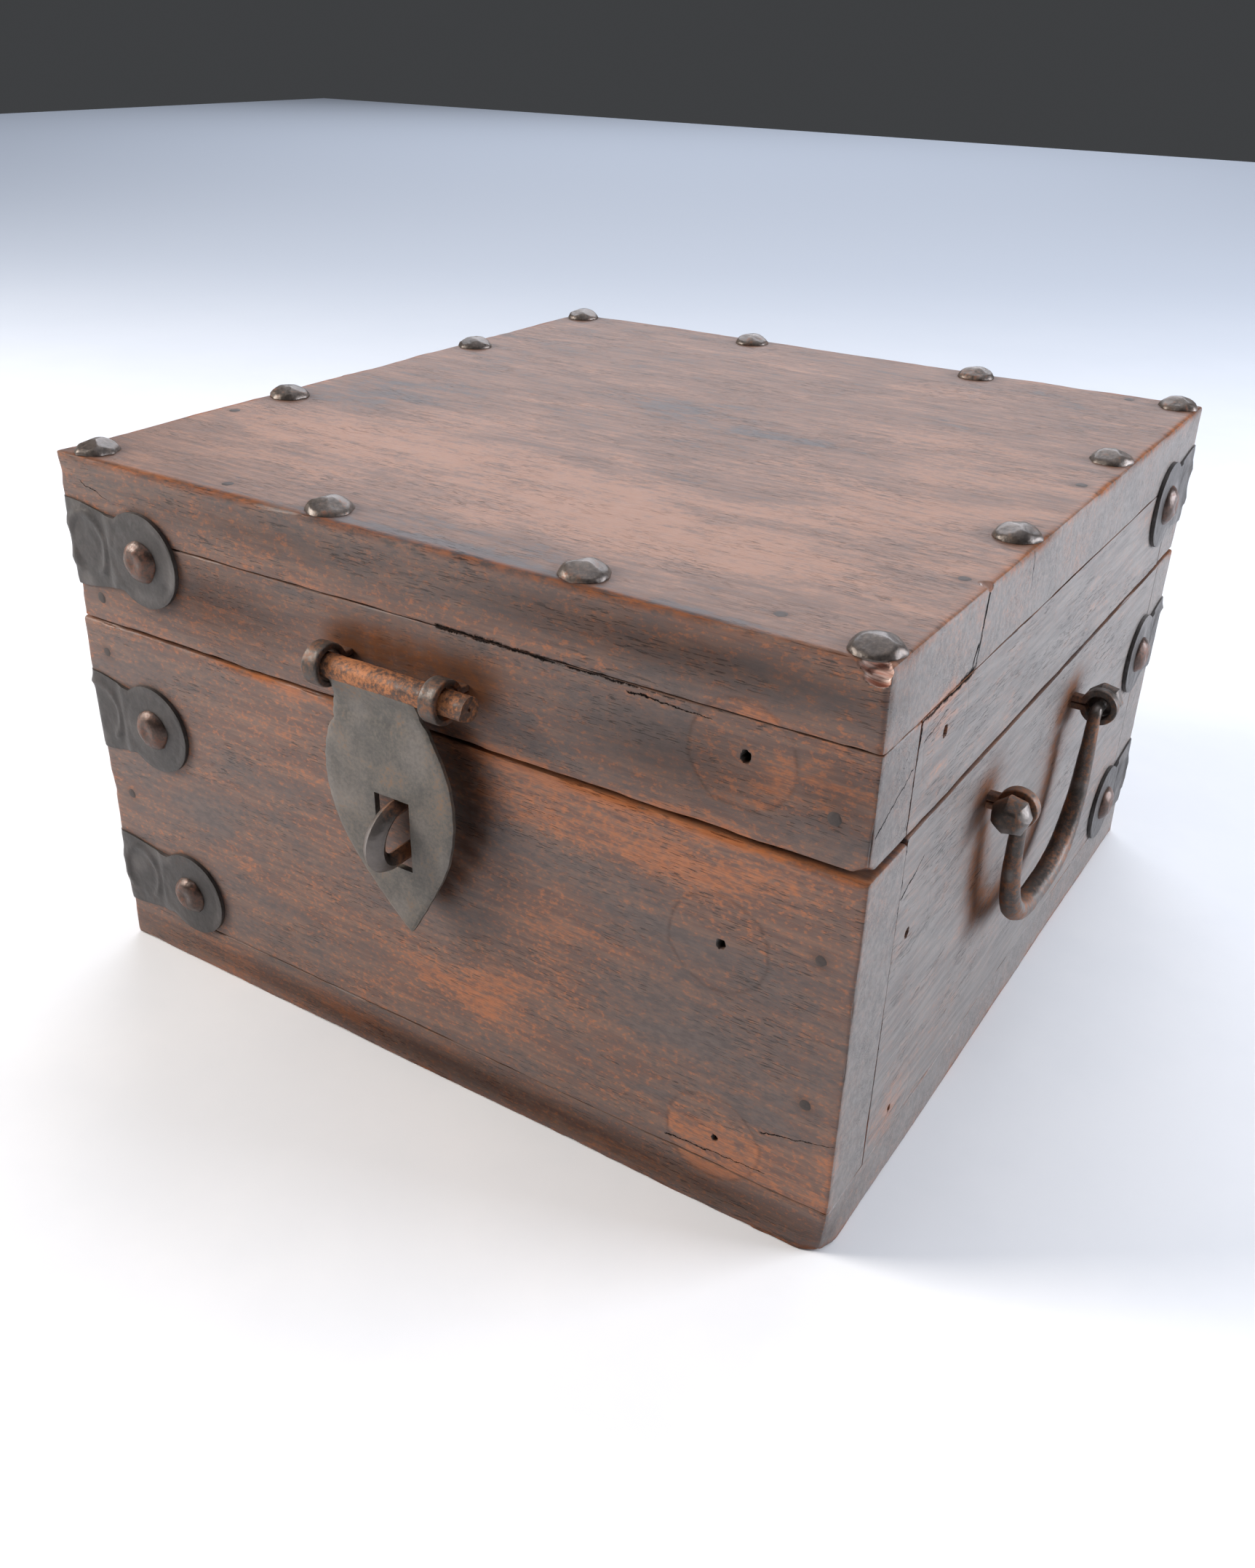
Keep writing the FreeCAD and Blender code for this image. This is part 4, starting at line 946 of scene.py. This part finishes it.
def hasp():
    """The leaf is a grid between its two curved sides, with a slot left out; its neck bends
    forward into the barrel. The barrel is a sheet rolled in a spiral and carried along X."""
    rows_z = np.concatenate((
        np.linspace(LEAF_TOP + 8.5, LEAF_TOP, 12)[:-1], np.linspace(LEAF_TOP, SLOT[3], 26)[:-1],
        np.linspace(SLOT[3], SLOT[2], 18)[:-1], np.linspace(SLOT[2], LEAF_TIP, 22)))
    share = np.clip((LEAF_TOP - rows_z) / (LEAF_TOP - LEAF_TIP), 0, 1)
    half = curve_through(LEAF_SHARES, LEAF_WIDTHS, share)
    lean = HASP_AXIS[0] + LEAF_LEAN * share ** 3 + NECK_SHIFT * (1 - share) ** 12
    nick = 1.5 * np.exp(-((rows_z - 138.5) / 1.5) ** 2)
    left = (lean - half + nick + 0.12 * np.sin(rows_z * 1.3))[:, None]
    right = (lean + half + 0.08 * np.sin(rows_z * 0.9))[:, None]
    at_slot = np.argmin(np.abs(rows_z[:, None] - np.clip(rows_z, SLOT[2], SLOT[3])[None]), axis=0)
    low_share, high_share = ((side - left[at_slot]) / (right[at_slot] - left[at_slot]) for side in SLOT[:2])
    parts = (np.linspace(0, 1, 13)[:-1], np.linspace(0, 1, 9)[:-1], np.linspace(0, 1, 13))
    shares = np.concatenate([parts[0] * low_share, low_share + parts[1] * (high_share - low_share),
                             high_share + parts[2] * (1 - high_share)], axis=1)
    x = left + shares * (right - left)
    z = rows_z[:, None]
    thin_edge = 0.45 * np.exp(-(np.minimum(x - left, right - x) / 0.8) ** 2)
    place = stacked(x, 0.0, z)
    dents = 0.3 * noise(place, 17.0, 41.0) + 0.08 * noise(place, 4.0, 42.0)
    thick = LEAF_HALF_THICK - thin_edge - hammer_marks(place, (0.05, 2.5, 43.0))
    neck = 2.4 * smooth(HASP_AXIS[2] - 9.0, HASP_AXIS[2] - 0.5, z)
    crease = 0.45 * np.exp(-((z - 143.0 - 0.04 * x) / 1.5) ** 2)
    middle_y = HASP_AXIS[1] - neck + 0.25 * dents + crease
    front, back = (stacked(x, middle_y + side * thick, z) for side in (-1, 1))
    kept = np.ones((len(rows_z) - 1, x.shape[1] - 1), bool)
    row_middle = (rows_z[1:] + rows_z[:-1]) / 2
    kept[np.ix_((row_middle > SLOT[2]) & (row_middle < SLOT[3]), range(12, 20))] = False
    leaf = plate(front, back, kept)

    turn = np.linspace(math.radians(-75), math.radians(345), 72)
    outer = (BARREL_RADIUS - 0.55 * smooth(math.radians(250), math.radians(345), turn))[:, None]
    spiral = np.concatenate((unit(turn) * outer, (unit(turn) * (outer - 3.3))[::-1]))
    path = stacked(np.linspace(*BARREL_ENDS, 56), *HASP_AXIS[1:])
    barrel = swept(path, -ALONG_Y, ALONG_Z, spiral[None], (0.05, 5.0, 44.0), (0.02, 1.5, 45.0))
    bx, by, bz = barrel[0].T
    barrel[0][:, 0] -= (smooth(BARREL_ENDS[1] - 2.5, BARREL_ENDS[1], bx) * 1.6
                        * smooth(-1.0, 3.5, HASP_AXIS[2] - bz) * smooth(-2.0, 3.0, HASP_AXIS[1] - by))
    for name, part, material in (("leaf", leaf, leaf_iron), ("barrel", barrel, rusty_iron)):
        worn = 0.3 * smooth(0.1, 0.9, noise(part[0], 11.0, 46.0))
        piece("hasp_" + name, *part, "hasp", ["hasp"], "iron_fittings", material, {"worn": worn})


hasp()


# Bail handles

BAIL_HALF_SPAN = 38.5
BAIL_DROP = 53.3
BAIL_ELBOW = 3.0
BAIL_NECK = 2.3
BAIL_GRIP = 4.2
KNOB_START = 46.0
KNOB_LENGTH = 9.2
KNOB_RADIUS = 6.7
KNOB_SHARES = np.array((0.0, 0.03, 0.14, 0.3, 0.5, 0.56, 0.9, 0.98, 1.0))
KNOB_WIDTHS = np.array((0.66, 0.78, 0.92, 0.99, 1.0, 0.98, 0.7, 0.58, 0.42))


def bail(side):
    """A forged bail: pins in the eyes, elbows, and a swelling grip on a superellipse; a hammered
    knob closes each end."""
    cosine, sine = unit(np.linspace(0, math.pi, 72)).T
    across = np.sign(cosine) * np.abs(cosine) ** (2 / 3) * BAIL_HALF_SPAN
    down = BAIL_ELBOW + (BAIL_DROP - BAIL_ELBOW) * np.abs(sine) ** (2 / 3)
    cosine_elbow, sine_elbow = unit(np.linspace(0, math.pi / 2, 7)[:-1]).T
    elbow = stacked(BAIL_HALF_SPAN + BAIL_ELBOW * (1 - sine_elbow), -BAIL_ELBOW * (1 - cosine_elbow))
    pin = stacked(np.linspace(KNOB_START + 3, BAIL_HALF_SPAN + BAIL_ELBOW + 0.5, 8), 0.0)
    half = np.concatenate((pin, elbow))
    track = np.concatenate((half, stacked(across, -down), half[::-1] * (-1, 1)))
    ends = np.full(len(half), BAIL_NECK)
    radii = np.concatenate((ends, BAIL_NECK + (BAIL_GRIP - BAIL_NECK) * np.abs(sine) ** 0.62, ends))
    middle = np.array((side * HANDLE_AXIS[0], *HANDLE_AXIS[1:]))
    path = middle + stacked(0.0, *track.T)
    parts = [forged_bar(path, radii, 24, 6.5, 0.09, 50.0 + side, 8, 0.35)]
    for end in (-1, 1):
        knob_path = middle + np.outer(end * (KNOB_START + KNOB_SHARES * KNOB_LENGTH), ALONG_Y)
        parts.append(forged_bar(knob_path, KNOB_WIDTHS * KNOB_RADIUS, 28, 6.5, 0.08,
                                60.0 + end + 3 * side, 7, 0.95))
    points, faces = joined(parts)
    name = "handle_right" if side > 0 else "handle_left"
    piece(name + "_forged", points, faces, name, [name], "iron_fittings", handle_iron,
          {"worn": smooth(0.3, 0.9, noise(points, 6.0, 47.0)) * 0.6})


bail(1)
bail(-1)

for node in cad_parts:
    if node.startswith("hinge") and "nails" not in node:
        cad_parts[node].data.materials.clear()
        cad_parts[node].data.materials.append(hinge_iron)


# Table, light and camera

def table_material():
    """A plain white painted table, matt with a faint cloudiness, so that the chest stands clear. It gets
    darker towards the far left and back, as the photograph's background does: a painted shade where the
    light falls off."""
    s = Shader("white painted table, matt")
    place = s.place_mm()
    cloud = s.noise(place, (160, 160, 160), 5.0, 0.6)
    base = s.mix(s.step(cloud, 0.3, 0.7), "eaecef", "f1f2f4")
    # Painted shade: the far part of the table is darker
    far = s.dot(place, (-0.63, 1.0, 0.0))
    base = s.mix(s.step(far, -250.0, 2000.0), base, "b8bfca")
    return s.finished({"Base Color": base, "Roughness": 0.8, "Specular IOR Level": 0.2}, cloud, 0.05)


TABLE_ENDS = (-4.0, 4.0)
table_mesh = bpy.data.meshes.new("table")
table_mesh.from_pydata([(x, y, 0.0) for y in TABLE_ENDS for x in TABLE_ENDS], [], [(0, 1, 3, 2)])
table_mesh.materials.append(table_material())
table_mesh.shade_smooth()
item = new_object("table", table_mesh)

# Soft rectangular lights that look at the chest: name, place, two sizes, power and tint
CHEST_MIDDLE = Vector((0.0, 0.0, 0.1))
for name, place, size, power, tint in (
        ("window on the left", (-1.7, -0.95, 1.05), (0.9, 0.9), 56.0, "fff8f0"),
        ("window on the right", (2.2, 1.3, 0.8), (1.6, 1.2), 97.0, "f2f6ff"),
        ("window behind on the left", (-1.8, 3.8, 2.9), (5.0, 3.0), 168.0, "f2f6ff"),
        ("ceiling", (0.0, 0.0, 2.2), (2.2, 2.2), 23.0, "f6f8ff")):
    light = bpy.data.lights.new(name, "AREA")
    light.shape = "RECTANGLE"
    light.size, light.size_y = size
    light.energy = power
    light.color = colour(tint)[:3]
    lamp = new_object(name, light)
    lamp.location = place
    lamp.rotation_euler = (CHEST_MIDDLE - Vector(place)).to_track_quat("-Z", "Y").to_euler()

world = bpy.data.worlds.new("pale room")
world.use_nodes = True
bpy.context.scene.world = world
world_tree = world.node_tree
world_tree.nodes.clear()
background = add(world_tree, "ShaderNodeBackground", {"Color": colour("e9edf3"), "Strength": 0.06})
world_tree.links.new(background, world_tree.nodes.new("ShaderNodeOutputWorld").inputs["Surface"])


def photograph_camera():
    """The camera of the photograph: its axes from azimuth, elevation and roll about the view."""
    a, e, r = CAMERA_AZIMUTH, CAMERA_ELEVATION, CAMERA_ROLL
    back = Vector((math.sin(a) * math.cos(e), -math.cos(a) * math.cos(e), math.sin(e)))
    right = Vector((math.cos(a), math.sin(a), 0.0))
    up = back.cross(right)
    right, up = right * math.cos(r) + up * math.sin(r), up * math.cos(r) - right * math.sin(r)
    data = bpy.data.cameras.new("photograph camera")
    data.lens = FOCAL_PIXELS / PICTURE_HEIGHT * SENSOR
    data.sensor_width = SENSOR
    camera = new_object("photograph camera", data)
    turn = Matrix((right, up, back)).transposed().to_4x4()
    camera.matrix_world = Matrix.Translation(Vector(CAMERA_PLACE) * MM) @ turn
    bpy.context.scene.camera = camera


photograph_camera()
bpy.context.scene.view_settings.view_transform = "Standard"
